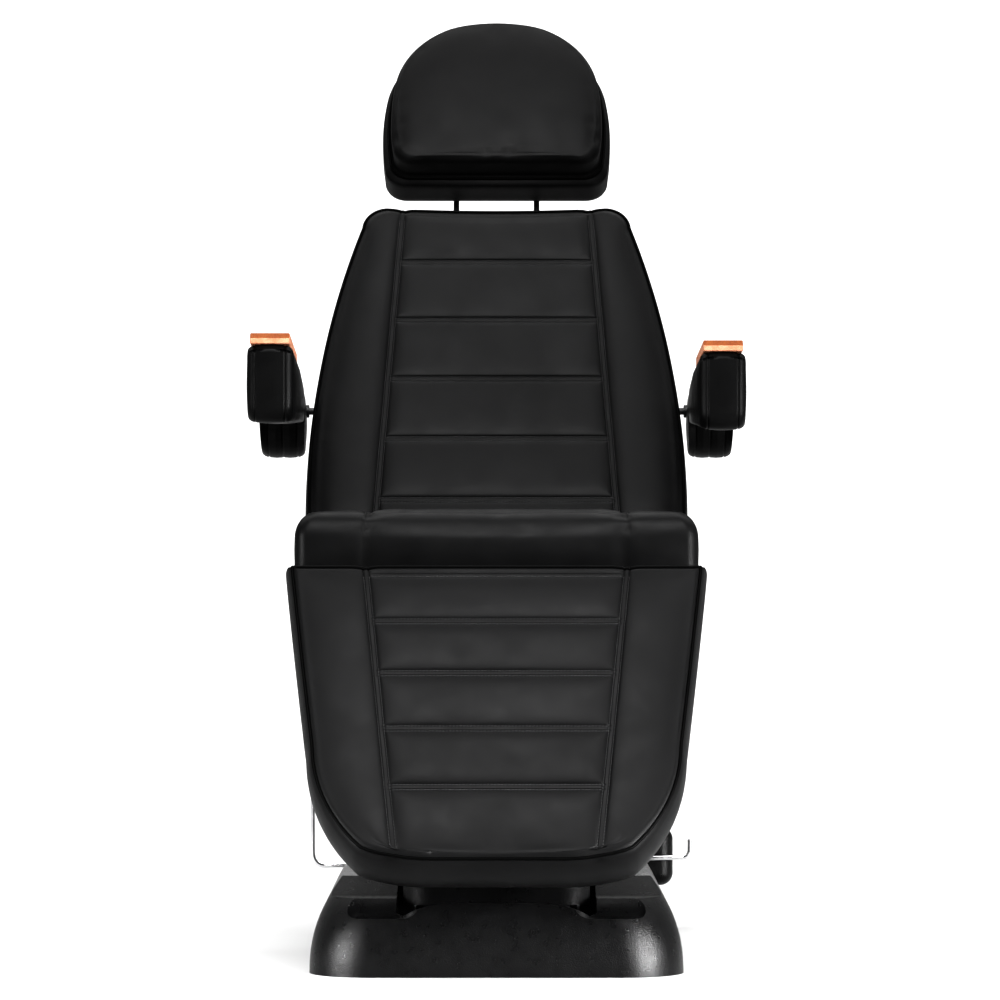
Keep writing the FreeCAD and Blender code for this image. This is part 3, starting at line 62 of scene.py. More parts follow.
# Seams: grid column of the lengthwise ones, half the gap between two rows of stitches, widths of the
# groove, of the painted shade along it and of the dip, way over which a cross seam fades out, and distances
# of grid lines from a seam.
SEAM_COLUMN = 0.62
SEAM_GAP = 0.0042
GROOVE_WIDTH = 0.0013
SHADE_WIDTH = 0.0016
DIP_WIDTH = 0.012
SEAM_FADE = 0.003
SEAM_STEPS = np.array([0.8, 1.7, 2.6, 3.4, 4.2, 5.0, 5.9, 7.4, 9.8, 13.5]) * 0.001

# Stitches and welts: the margin is at the ends of a row, the lift is a share of the welt's radius.
STITCH_PITCH = 0.0052
STITCH_LENGTH = 0.0036
STITCH_MARGIN = 0.006
THREAD_RADIUS = 0.00045
WELT_LIFT = 0.35

# Filling by cloth simulation.
SIM_FRAMES = 18
HELD_GROUP = "held"
CLOTH_SETTINGS: dict[str, object] = {
    "quality": 4,
    "use_pressure": True,
    "tension_stiffness": 30.0,
    "compression_stiffness": 30.0,
    "bending_stiffness": 2.0,
    "air_damping": 4.0,
    "vertex_group_mass": HELD_GROUP,
}

# The stretch of a noise texture's values that materials use.
NOISE_LOW = 0.3
NOISE_HIGH = 0.7

TINY = 1e-6
NEAR_ZERO = 1e-9


class SeamKind(Enum):
    """How a seam is sewn, as half the gap between its rows: one row, or two with a band between."""

    SINGLE = 0.0
    DOUBLE = SEAM_GAP


class Side(Enum):
    """Side of the chair, as the sign of X."""

    LEFT = -1
    RIGHT = 1


@dataclass(frozen=True)
class Plane:
    """Axes of a cushion: across it, along it and into its depth, from an origin."""

    origin: Triple
    across: Triple
    along: Triple
    inward: Triple

    def to_world(self, local: Array) -> Array:
        """World points of local points.

        Args:
            local: Rows of distances across, along and inward.

        Returns:
            Rows of X, Y and Z.
        """
        return np.asarray(self.origin) + local @ np.array([self.across, self.along, self.inward])

    def is_left_handed(self) -> bool:
        """Tell whether the axes form a left-handed set."""
        return float(np.linalg.det(np.array([self.across, self.along, self.inward]))) < 0


def leaning_plane(foot: Point, lean: float) -> Plane:
    """Plane of a face that leans back from upright.

    Args:
        foot: Y and Z of the origin.
        lean: Lean in degrees; 90 lies flat, facing up.

    Returns:
        The plane, with its depth behind the face.
    """
    s = math.sin(math.radians(lean))
    c = math.cos(math.radians(lean))
    return Plane((0.0, *foot), (1.0, 0.0, 0.0), (0.0, s, c), (0.0, c, -s))


@dataclass(frozen=True)
class ArcRun:
    """Stretch of an outline: the circle, or the line, through three points of half width and height."""

    start: Point
    middle: Point
    end: Point

    def half_width(self, along: Array) -> Array:
        """Half width at heights, on the outer branch of the circle through the three points.

        Args:
            along: Heights within the stretch.

        Returns:
            Half widths.
        """
        (x0, u0), (x1, u1), (x2, u2) = self.start, self.middle, self.end
        turn = 2 * ((x1 - x0) * (u2 - u0) - (x2 - x0) * (u1 - u0))
        if abs(turn) < NEAR_ZERO:
            return np.interp(along, [u0, u2], [x0, x2])
        p = (x1 - x0) ** 2 + (u1 - u0) ** 2
        q = (x2 - x0) ** 2 + (u2 - u0) ** 2
        cx = (p * (u2 - u0) - q * (u1 - u0)) / turn
        cu = (q * (x1 - x0) - p * (x2 - x0)) / turn
        reach = np.maximum(cx * cx + cu * cu - (along - u0 - cu) ** 2, 0.0)
        return x0 + cx + np.sqrt(reach)


def quarter_run(centre: Point, wide: float, high: float) -> ArcRun:
    """Round corner between an upright side and a level end.

    Args:
        centre: Half width where the level end starts and height where the upright side ends.
        wide: Reach of the corner across.
        high: Reach of the corner along, negative for a corner at the low end.

    Returns:
        The stretch, listed from its lower end.
    """
    x, u = centre
    swing = math.sqrt(0.5)
    side = (x + wide, u)
    middle = (x + wide * swing, u + high * swing)
    level = (x, u + high)
    return ArcRun(side, middle, level) if high > 0 else ArcRun(level, middle, side)


class Outline(ABC):
    """Bounds of a cushion across, at each place along it."""

    low: float
    high: float
    half: float

    @abstractmethod
    def span(self, along: Array) -> Pair:
        """Bounds at places along the cushion.

        Args:
            along: Places along.

        Returns:
            Middle and half width at each place.
        """

    @property
    def middle(self) -> float:
        """Middle of the outline along the cushion."""
        return (self.low + self.high) / 2

    @property
    def half_length(self) -> float:
        """Half of the outline's length."""
        return (self.high - self.low) / 2


class RunOutline(Outline):
    """Symmetric outline of arc stretches, from the low end to the high end."""

    def __init__(self, *runs: ArcRun) -> None:
        """Keep the stretches and their bounds.

        Args:
            runs: The stretches, from the low end.
        """
        self.runs = runs
        self.low = runs[0].start[1]
        self.high = runs[-1].end[1]
        self.half = max(max(run.start[0], run.middle[0], run.end[0]) for run in runs)

    def span(self, along: Array) -> Pair:
        """Bounds where each place takes the stretch that holds it.

        Args:
            along: Places along.

        Returns:
            Middle and half width at each place.
        """
        half = np.zeros_like(along)
        for run in self.runs:
            inside = (along >= run.start[1]) & (along <= run.end[1])
            half = np.where(inside, run.half_width(along), half)
        return np.zeros_like(along), half


class ArmOutline(Outline):
    """Side view of a padded arm: a blunt nose, a nearly level underside and a round hub behind it."""

    low = 0.020
    high = 0.568
    half = 0.0635
    nose = 0.028
    bevel = 0.008
    chin_height = 0.851
    nose_height = 0.970
    crest_height = 0.978
    waist = (0.300, 0.956)
    hub_radius = 0.057
    hub_height = 0.862
    hub_top = 0.919

    def span(self, along: Array) -> Pair:
        """Bounds of straight runs with a rounded chin, then of the hub's circle.

        Args:
            along: Places along, from the nose to the hub.

        Returns:
            Middle and half height at each place.
        """
        turn = self.high - self.hub_radius
        neck = turn - self.hub_radius
        chin = np.clip(self.low + self.nose - along, 0.0, self.nose)
        under = np.interp(along, [self.low + self.nose, neck], [self.chin_height, self.hub_height])
        under = under + self.nose - np.sqrt(self.nose**2 - chin**2)
        places = [self.low, self.low + self.bevel, self.waist[0], turn]
        heights = [self.nose_height, self.crest_height, self.waist[1], self.hub_top]
        over = np.interp(along, places, heights)
        circle = np.sqrt(np.maximum(self.hub_radius**2 - (along - turn) ** 2, 0.0))
        under = np.where(along > neck, self.hub_height - circle, under)
        over = np.where(along > turn, self.hub_height + circle, over)
        return (under + over) / 2, (over - under) / 2


@dataclass(frozen=True)
class Rounding:
    """Rounded rim of a cushion: how far it draws in, and over which share of the thickness."""

    draw: float
    share: float
    power: float = 2.2

    def inset(self, way: Array) -> Array:
        """Draw-in at a share of the thickness from this rim, along a superellipse."""
        t = np.clip(1 - way / self.share, 0.0, 1.0)
        return self.draw * (1 - (1 - t**self.power) ** (1 / self.power))

    def steps(self, count: int) -> Array:
        """Shares of the thickness that follow the curve evenly, from the rim inwards."""
        return self.share * (1 - np.sin(np.linspace(math.pi / 2, 0, count)))


# Sides of the box: the axis of the rows, of the columns and the fixed one, its end, and the turn.
PATCHES: dict[str, tuple[int, int, int, int, bool]] = {
    "face": (1, 0, 2, 0, True),
    "back": (1, 0, 2, -1, False),
    "left": (1, 2, 0, 0, False),
    "right": (1, 2, 0, -1, True),
    "low": (2, 0, 1, 0, False),
    "high": (2, 0, 1, -1, True),
}


class BoxGrid:
    """Grid folded over the six sides of a box."""

    def __init__(self, axes: tuple[Array, Array, Array], flip: bool) -> None:
        """Number the points of the six patches so that neighbours share their edges.

        Args:
            axes: Values across, along and inward.
            flip: True where the axes are left-handed.
        """
        self.axes = axes
        counts = [len(axis) for axis in axes]
        keys: list[Array] = []
        for rows, columns, fixed, end, _ in PATCHES.values():
            place: list[Array] = [np.zeros(1, int)] * 3
            place[rows] = np.arange(counts[rows])[:, None]
            place[columns] = np.arange(counts[columns])[None, :]
            place[fixed] = np.full((1, 1), end % counts[fixed])
            keys.append((place[0] * counts[1] + place[1]) * counts[2] + place[2])
        flat, inverse = np.unique(np.concatenate([key.ravel() for key in keys]), return_inverse=True)
        self.count = len(flat)
        a, rest = np.divmod(flat, counts[1] * counts[2])
        b, c = np.divmod(rest, counts[2])
        self.params = np.column_stack([axes[0][a], axes[1][b], axes[2][c]])
        self.patches: dict[str, Array] = {}
        quads: list[Array] = []
        start = 0
        for (name, patch), key in zip(PATCHES.items(), keys):
            grid = inverse[start:start + key.size].reshape(key.shape)
            start += key.size
            self.patches[name] = grid
            faces = grid_quads(grid)
            quads.append(faces[:, ::-1] if patch[4] != flip else faces)
        self.quads = np.concatenate(quads)

    def resample(self, values: Array, finer: "BoxGrid") -> Array:
        """Values on this grid read at another grid's points, by cubic weights on each patch.

        Args:
            values: One row for each point of this grid.
            finer: Grid to read at.

        Returns:
            One row for each point of the other grid.
        """
        result = np.zeros((finer.count, values.shape[1]))
        for name, (rows, columns, _, _, _) in PATCHES.items():
            down = cubic_weights(self.axes[rows], finer.axes[rows])
            over = cubic_weights(self.axes[columns], finer.axes[columns])
            grid = values[self.patches[name]]
            result[finer.patches[name]] = np.einsum("ri,ijk,cj->rck", down, grid, over)
        return result

    def ring(self, depth: int) -> Array:
        """Closed loop of points round the box.

        Args:
            depth: Step of the box's depth.

        Returns:
            Point numbers along the loop.
        """
        left = self.patches["left"][:, depth]
        right = self.patches["right"][:, depth]
        low = self.patches["low"][depth]
        high = self.patches["high"][depth]
        return np.concatenate([low[:-1], right[:-1], high[::-1][:-1], left[::-1][:-1]])


def grid_quads(grid: Array) -> Array:
    """Quads between neighbouring rows and columns of an index grid."""
    corners = (grid[:-1, :-1], grid[:-1, 1:], grid[1:, 1:], grid[1:, :-1])
    return np.stack(corners, axis=-1).reshape(-1, 4)


def cubic_weights(coarse: Array, fine: Array) -> Array:
    """Matrix that reads values on coarse places at fine places, with cubic taps.

    Args:
        coarse: Rising places of the known values.
        fine: Places to read at.

    Returns:
        A matrix with one row for each fine place.
    """
    place = np.interp(fine, coarse, np.arange(len(coarse)))
    base = np.clip(np.floor(place).astype(int), 0, len(coarse) - 2)
    t = (place - base)[:, None]
    cubics = (-t + 2 * t**2 - t**3, 2 - 5 * t**2 + 3 * t**3, t + 4 * t**2 - 3 * t**3, t**3 - t**2)
    taps = np.hstack(cubics) / 2
    weights = np.zeros((len(fine), len(coarse)))
    for tap in range(len(cubics)):
        column = np.clip(base + tap - 1, 0, len(coarse) - 1)
        np.add.at(weights, (np.arange(len(fine)), column), taps[:, tap])
    return weights


def both_sides(offsets: Array) -> Array:
    """Rising distances on both sides of a line, with zero between them."""
    return np.concatenate([-offsets[::-1], [0.0], offsets])


def graded(low: float, high: float, step: float, marks: Array, offsets: Array) -> Array:
    """Even steps between two ends, with closer ones on both sides of each mark.

    Args:
        low: First value.
        high: Last value.
        step: Even step.
        marks: Places that get closer steps.
        offsets: Distances of the closer steps from a mark.

    Returns:
        Rising values from low to high.
    """
    even = np.linspace(low, high, max(int(round((high - low) / step)), 2) + 1)
    if len(marks) == 0:
        return even
    end_gap = step / 8
    even_gap = step * 0.4
    close = (marks[:, None] + both_sides(offsets)[None, :]).ravel()
    close = close[(close > low + end_gap) & (close < high - end_gap)]
    keep = np.abs(even[:, None] - close[None, :]).min(axis=1) > even_gap
    keep[[0, -1]] = True
    return np.unique(np.round(np.concatenate([even[keep], close]), 6))


def make_object(name: str, points: Array, faces: Array,
                material: Material | None = None) -> bpy.types.Object:
    """Smooth mesh object at the origin.

    Args:
        name: Name of the object.
        points: Rows of X, Y and Z.
        faces: Rows of point numbers.
        material: Its material, if it has one.

    Returns:
        The linked object.
    """
    mesh = bpy.data.meshes.new(name)
    mesh.from_pydata(points.tolist(), [], faces.tolist())
    mesh.polygons.foreach_set("use_smooth", np.ones(len(mesh.polygons), bool))
    if material is not None:
        mesh.materials.append(material)
    mesh.update()
    made = bpy.data.objects.new(name, mesh)
    bpy.context.scene.collection.objects.link(made)
    return made


def unit(rows: Array) -> Array:
    """Rows scaled to length one, where they have a length."""
    shortest = 1e-12
    return rows / np.maximum(np.linalg.norm(rows, axis=1, keepdims=True), shortest)


def point_normals(points: Array, quads: Array) -> Array:
    """Unit normals at points, as the sum of the normals of the quads round each.

    Args:
        points: Rows of X, Y and Z.
        quads: Rows of four point numbers.

    Returns:
        One normal for each point.
    """
    a, b, c, d = (points[quads[:, i]] for i in range(4))
    facing = np.cross(c - a, d - b)
    total = np.zeros_like(points)
    for i in range(4):
        np.add.at(total, quads[:, i], facing)
    return unit(total)


def circles(upward: Array, aside: Array, sides: int) -> Array:
    """Circle of directions for each row: cosine times one unit vector plus sine times the other."""
    angle = np.linspace(0, 2 * math.pi, sides, endpoint=False)[None, :, None]
    return upward[:, None, :] * np.cos(angle) + aside[:, None, :] * np.sin(angle)


def loop_tube(path: Array, normals: Array, radius: float) -> Pair:
    """Round tube along a closed path: a circle in the plane of each point's normal and side.

    Args:
        path: Points of the loop.
        normals: Unit normals along it.
        radius: Radius of the tube.

    Returns:
        Points and quads.
    """
    sides = 10
    ahead = unit(np.roll(path, -1, axis=0) - np.roll(path, 1, axis=0))
    aside = unit(np.cross(ahead, normals))
    ring = circles(np.cross(aside, ahead), aside, sides)
    points = (path[:, None, :] + radius * ring).reshape(-1, 3)
    grid = np.arange(len(points)).reshape(len(path), sides)
    grid = np.vstack([grid, grid[:1]])
    grid = np.hstack([grid, grid[:, :1]])
    return points, grid_quads(grid)[:, ::-1]


def sewn_rows(starts: Array, ends: Array, normals: Array, radius: float) -> Pair:
    """Stitches as short threads that dip at both ends: a six-sided tube of four rings for each.

    Args:
        starts: Points where the stitches go in.
        ends: Points where they come out.
        normals: Unit normals of the cover there.
        radius: Radius of the thread.

    Returns:
        Points and quads.
    """
    sides = 6
    rings = np.array([0.0, 0.3, 0.7, 1.0])
    rise = np.array([-0.8, 0.55, 0.55, -0.8]) * radius
    ahead = ends - starts
    circle = circles(normals, unit(np.cross(ahead, normals)), sides)
    middle = starts[:, None, :] + ahead[:, None, :] * rings[None, :, None]
    middle = middle + normals[:, None, :] * rise[None, :, None]
    points = (middle[:, :, None, :] + radius * circle[:, None, :, :]).reshape(-1, 3)
    block = np.arange(len(rings) * sides).reshape(len(rings), sides)
    single = grid_quads(np.hstack([block, block[:, :1]]))
    quads = (np.arange(len(starts))[:, None, None] * block.size + single[None]).reshape(-1, 4)
    return points, quads[:, ::-1]


@dataclass
class Spots:
    """Points of a cushion: metres across and along, grid value across, and share of the thickness."""

    x: Array
    v: Array
    a: Array
    c: Array


def panel_half(panel: Panel, along: Array | float) -> Array | float:
    """Half width of the middle panel, on a straight line through two places and half widths."""
    (v0, w0), (v1, w1) = panel
    return w0 + (along - v0) * (w1 - w0) / (v1 - v0)


@dataclass
class Seam(ABC):
    """Line of stitches pressed into a cushion."""

    kind: SeamKind = SeamKind.DOUBLE
    depth: float = 0.0016
    dip: float = 0.0022

    @abstractmethod
    def reach(self, spots: Spots) -> Pair:
        """Where the seam lies.

        Args:
            spots: Points of the cushion.

        Returns:
            Distance from the seam's middle and strength of the seam at each point.
        """

    def groove(self, distance: Array, width: float) -> Array:
        """Share of a groove at a distance: a bell curve of a width at each row of stitches."""
        return np.exp(-(((np.abs(distance) - self.kind.value) / width) ** 2))

    def profile(self, distance: Array) -> Array:
        """Depth at a distance: a wide soft dip with a narrow groove at each row of stitches."""
        dip = np.exp(-((distance / DIP_WIDTH) ** 2))
        return self.depth * self.groove(distance, GROOVE_WIDTH) + self.dip * dip

    def levels(self) -> Array:
        """Shares of the thickness at which the grid needs close rows."""
        return np.array([])

    def stitch_rows(self, low: float, high: float) -> list[Pair]:
        """Stitches that show on the face, none unless the kind of seam has them.

        Args:
            low: Lowest place along for a stitch.
            high: Highest place along for a stitch.

        Returns:
            For each row, the places across and along of the stitches' starts and of their ends.
        """
        return []


@dataclass
class CrossSeam(Seam):
    """Seam across the middle panel, at one place along the cushion."""

    at: float = 0.0
    panel: Panel = ((0.0, 0.0), (0.0, 0.0))

    def reach(self, spots: Spots) -> Pair:
        """Distance along the face, between the lengthwise seams.

        Args:
            spots: Points of the cushion.

        Returns:
            Distance from the seam's middle and strength of the seam at each point.
        """
        half = panel_half(self.panel, spots.v)
        inside = np.clip((half - np.abs(spots.x)) / SEAM_FADE + 0.5, 0.0, 1.0)
        return spots.v - self.at, inside * (spots.c < TINY)

    def stitch_rows(self, low: float, high: float) -> list[Pair]:
        """Two rows across the panel.

        Args:
            low: Not used: the rows lie at one place along.
            high: Not used either.

        Returns:
            For each row, the places across and along of the stitches' starts and of their ends.
        """
        half = panel_half(self.panel, self.at) - SEAM_GAP - STITCH_LENGTH
        x = np.arange(-half, half, STITCH_PITCH)
        rows: list[Pair] = []
        for v in (self.at - SEAM_GAP, self.at + SEAM_GAP):
            level = np.full_like(x, v)
            rows.append((np.column_stack([x, level]), np.column_stack([x + STITCH_LENGTH, level])))
        return rows


@dataclass
class LengthSeam(Seam):
    """Pair of seams along the cushion, one each side of the middle panel."""

    panel: Panel = ((0.0, 0.0), (0.0, 0.0))
    rim_share: float = 0.22
    over_end: float | None = None

    def reach(self, spots: Spots) -> Pair:
        """Distance across the face and its rims, and down the low end where the seam goes over it.

        Args:
            spots: Points of the cushion.

        Returns:
            Distance from the seam's middle and strength of the seam at each point.
        """
        held = spots.c < self.rim_share
        if self.over_end is not None:
            held = held | (spots.v < self.over_end)
        return np.abs(spots.x) - panel_half(self.panel, spots.v), held.astype(float)

    def stitch_rows(self, low: float, high: float) -> list[Pair]:
        """Two rows along each side of the panel.

        Args:
            low: Lowest place along for a stitch.
            high: Highest place along for a stitch.

        Returns:
            For each row, the places across and along of the stitches' starts and of their ends.
        """
        start = np.arange(low, high - STITCH_LENGTH, STITCH_PITCH)
        rows: list[Pair] = []
        for side in Side:
            for gap in (-SEAM_GAP, SEAM_GAP):
                first, last = (
                    np.column_stack([side.value * (panel_half(self.panel, v) + gap), v])
                    for v in (start, start + STITCH_LENGTH)
                )
                rows.append((first, last))
        return rows


@dataclass
class BandSeam(Seam):
    """Seam round the sides at one share of the thickness."""

    share: float = 0.5
    thick: float = 0.1
    starts: float = -math.inf
    lower_side: bool = False

    def reach(self, spots: Spots) -> Pair:
        """Distance through the thickness, from the seam's start along the cushion.

        Args:
            spots: Points of the cushion.

        Returns:
            Distance from the seam's middle and strength of the seam at each point.
        """
        held = spots.v > self.starts
        if self.lower_side:
            held = held & (spots.a < -1 + TINY)
        return (spots.c - self.share) * self.thick, held.astype(float)

    def levels(self) -> Array:
        """Shares of the thickness on both sides of the seam, clear of the rims."""
        return np.clip(self.share + both_sides(SEAM_STEPS) / self.thick, 0.02, 0.98)


def panel_seams(rows: tuple[float, ...], panel: Panel) -> list[Seam]:
    """Cross seams at places along the panel, and the lengthwise seams beside them."""
    return [*(CrossSeam(at=v, panel=panel) for v in rows), LengthSeam(panel=panel)]


@dataclass(frozen=True)
class Detail:
    """Fineness of a grid: its step against the cushion's, its rows at rounded places, and closeness."""

    step: float
    ends: int
    front: int
    rear: int
    close: bool


FINISHED = Detail(step=1.0, ends=14, front=12, rear=6, close=True)
TRIAL = Detail(step=1.5, ends=4, front=5, rear=3, close=False)
TRIAL_SEAM_STEP = 0.9
LEDGE_LEVELS = 9
PANEL_LIMIT = 0.96
SAG_POWER = 6


@dataclass(frozen=True)
class Hold:
    """How firmly the simulation holds a cushion.

    Attributes:
        board_start: Share of the thickness at which the hold of the board starts.
        board_run: Share of the thickness over which it grows to fast.
        tip_half: Half width below which a tip is held fast.
        welt: Hold of a welt.
        welt_run: Share of the thickness each side of a welt that it holds.
        seam: Hold of a seam.
        seam_way: Distance each side of a seam that it holds.
    """

    board_start: float = 0.55
    board_run: float = 0.3
    tip_half: float = 0.03
    welt: float = 0.9
    welt_run: float = 0.04
    seam: float = 0.85
    seam_way: float = 0.002


@dataclass
class Cushion:
    """Stuffed cushion over its board, laid out from an outline and a thickness.

    Attributes:
        name: Name of its piece.
        node: Node of the frame that it replaces.
        body: Body that it rides on.
        plane: Axes of its face.
        outline: Bounds of its fullest section.
        thick: Its thickness.
        front: Rounding of the rim at the face.
        rear: Rounding of the rim at the board.
        belly: Swelling of the sides at half thickness.
        ledge: Step in the sides: its depth, and the shares of the thickness where it starts and ends.
        pin: Share of the length that stays put where the outline is drawn in.
        crown: Rise of the face in its middle.
        crown_run: Way in from the rim over which a crown rises.
        rear_crown: Rise of the rear in its middle.
        fall: Places along, and how far the face falls at each.
        sag: Dip of the high end in its middle.
        panel: Middle panel, as two places along with its half widths there.
        cross_rows: Places along of the cross seams.
        seams: Seams pressed into it.
        welts: Shares of the thickness that carry a welt.
        welt_radius: Radius of a welt.
        end_rows: Lengths at the low and the high end that get closer grid rows.
        extra_rows: Further grid rows.
        step: Even step of the finished grid.
        hold: What holds it in the simulation.
        pressure: Pressure in the simulation.
        cap: Largest movement in the simulation.
        fill: How full the padding is; not used.
    """

    name: str
    node: str
    body: str
    plane: Plane
    outline: Outline
    thick: float
    front: Rounding = Rounding(0.020, 0.28)
    rear: Rounding = Rounding(0.012, 0.14)
    belly: float = 0.0
    ledge: Triple | None = None
    pin: float = 0.5
    crown: float = 0.005
    crown_run: float = 0.100
    rear_crown: float = 0.0
    fall: Pair | None = None
    sag: float = 0.0
    panel: Panel | None = None
    cross_rows: tuple[float, ...] = ()
    seams: list[Seam] = field(default_factory=list)
    welts: tuple[float, ...] = (0.10,)
    welt_radius: float = 0.0026
    end_rows: Point = (0.030, 0.030)
    extra_rows: tuple[float, ...] = ()
    step: float = 0.009
    hold: Hold = Hold()
    pressure: float = 4.0
    cap: float = 0.005
    fill: float = 0.7

    def draw_in(self, c: Array) -> Array:
        """Draw-in of the sides: both rims and the ledge's smooth step, less the belly's parabola.

        Args:
            c: Shares of the thickness.

        Returns:
            Draw-in at each share.
        """
        draw = self.front.inset(c) + self.rear.inset(1 - c) - self.belly * (1 - (2 * c - 1) ** 2)
        if self.ledge is not None:
            step, start, end = self.ledge
            way = np.clip((c - start) / (end - start), 0.0, 1.0)
            draw = draw + step * (1 - way * way * (3 - 2 * way))
        return draw

    @property
    def centre(self) -> float:
        """Place along that stays put where the outline is drawn in."""
        return self.outline.low + 2 * self.pin * self.outline.half_length

    def shrink(self, draw: Array | float) -> tuple[Array | float, Array | float]:
        """Scale across and along that gives a draw-in."""
        reach = max(self.centre - self.outline.low, self.outline.high - self.centre)
        return 1 - draw / self.outline.half, 1 - draw / reach

    @property
    def face_draw(self) -> float:
        """Draw-in of the face."""
        return float(self.draw_in(np.zeros(1))[0])

    def slide(self, u: Array | float, scale: Array | float) -> Array | float:
        """Place along of a grid value where the outline is scaled."""
        return self.centre + (u - self.centre) * scale

    def row_of(self, v: Array) -> Array:
        """Grid values along that lie at places on the drawn-in face."""
        _, scale = self.shrink(self.face_draw)
        return self.centre + (v - self.centre) / scale

    def panel_edge(self, u: Array, half: Array) -> Array:
        """Edge of the middle panel before the face is drawn in.

        Args:
            u: Grid values along.
            half: Half widths of the outline there.

        Returns:
            Half widths of the panel.
        """
        if self.panel is None:
            return SEAM_COLUMN * half
        scale, scale_along = self.shrink(self.face_draw)
        return np.minimum(panel_half(self.panel, self.slide(u, scale_along)) / scale, half * PANEL_LIMIT)

    def spread(self, a: Array, u: Array, half: Array) -> Array:
        """Place across: the seam's column lies on the panel's edge, and columns are even between.

        Args:
            a: Grid values across.
            u: Grid values along.
            half: Half widths of the outline there.

        Returns:
            Places across, before the outline is drawn in.
        """
        panel = self.panel_edge(u, half)
        inner = np.clip(np.abs(a) / SEAM_COLUMN, 0, 1) * panel
        outer = np.clip((np.abs(a) - SEAM_COLUMN) / (1 - SEAM_COLUMN), 0, 1) * (half - panel)
        return np.sign(a) * (inner + outer)

    def swell(self, way: Array) -> Array:
        """Rise of the crown at a way in from the rim, along half a parabola."""
        return 1 - (1 - np.clip(way / self.crown_run, 0, 1)) ** 2

    def layout(self, params: Array) -> tuple[Array, Spots]:
        """World points and places of grid points.

        Args:
            params: Rows of the values across, along and inward.

        Returns:
            World points, and their places on the cushion.
        """
        a, u, c = params.T
        middle, half = self.outline.span(u)
        scale, scale_along = self.shrink(self.draw_in(c))
        x = self.spread(a, u, half) * scale
        reach = half * scale
        v = self.slide(u, scale_along)
        low = self.slide(self.outline.low, scale_along)
        high = self.slide(self.outline.high, scale_along)
        bulge = self.swell(reach - np.abs(x)) * self.swell(np.minimum(v - low, high - v))
        fall = np.interp(v, *self.fall) if self.fall is not None else np.zeros_like(v)
        top = fall - self.crown * bulge
        depth = top + c * (self.thick + self.rear_crown * bulge - top)
        upper = np.clip((v - self.outline.middle) / self.outline.half_length, 0, 1)
        dip = self.sag * upper**SAG_POWER * np.clip(1 - (x / np.maximum(reach, TINY)) ** 2, 0, 1)
        local = np.column_stack([middle + x, v - dip, depth])
        return self.plane.to_world(local), Spots(x, v, a, c)

    def grid(self, detail: Detail) -> BoxGrid:
        """Grid with an even step, closer at seams and rims where it is fine.

        Args:
            detail: Fineness of the grid.

        Returns:
            The folded grid.
        """
        step = self.step * detail.step
        low, high, half = self.outline.low, self.outline.high, self.outline.half
        offsets = SEAM_STEPS if detail.close else np.array([step * TRIAL_SEAM_STEP])
        marks = np.array([] if self.panel is None else [-SEAM_COLUMN, SEAM_COLUMN])
        across = graded(-1.0, 1.0, step / half, marks, offsets / half)
        along = graded(low, high, step, self.row_of(np.array(self.cross_rows)), offsets)
        along = self.rounded_ends(along, detail.ends)
        first = self.front.steps(detail.front)
        last = 1 - self.rear.steps(detail.rear)[::-1]
        count = max(int(round(self.thick * (last[0] - first[-1]) / step)), 2)
        levels = [first, np.linspace(first[-1], last[0], count + 1), last]
        if detail.close:
            levels.append(np.array(self.welts))
            levels.extend(seam.levels() for seam in self.seams)
            if self.ledge is not None:
                levels.append(np.linspace(self.ledge[1], self.ledge[2], LEDGE_LEVELS))
        inward = np.unique(np.round(np.concatenate(levels), 5))
        return BoxGrid((across, along, inward), self.plane.is_left_handed())

    def rounded_ends(self, along: Array, count: int) -> Array:
        """Places along with closer ones towards both ends, where the outline turns.

        Args:
            along: Rising places.
            count: Number of places at each end.

        Returns:
            Rising places with those at the ends and the extra rows.
        """
        low, high = self.end_rows
        turn = 1 - np.cos(np.linspace(0, math.pi / 2, count))
        kept = along[(along > self.outline.low + low) & (along < self.outline.high - high)]
        first = self.outline.low + low * turn
        last = self.outline.high - high * turn[::-1]
        return np.unique(np.round(np.concatenate([first, kept, self.extra_rows, last]), 6))

    def held(self, grid: BoxGrid, spots: Spots) -> Array:
        """How firmly each point is held: board side and tips fast, welts and seams nearly.

        Args:
            grid: Grid of the simulation.
            spots: Places of its points.

        Returns:
            Hold from 0 to 1 at each point.
        """
        hold = np.clip((spots.c - self.hold.board_start) / self.hold.board_run, 0.0, 1.0)
        _, half = self.outline.span(grid.params[:, 1])
        hold = np.maximum(hold, half < self.hold.tip_half)
        for share in self.welts:
            hold = np.maximum(hold, self.hold.welt * (np.abs(spots.c - share) < self.hold.welt_run))
        for seam in self.seams:
            distance, strength = seam.reach(spots)
            near = np.abs(distance) < self.hold.seam_way
            hold = np.maximum(hold, self.hold.seam * strength * near)
        return hold

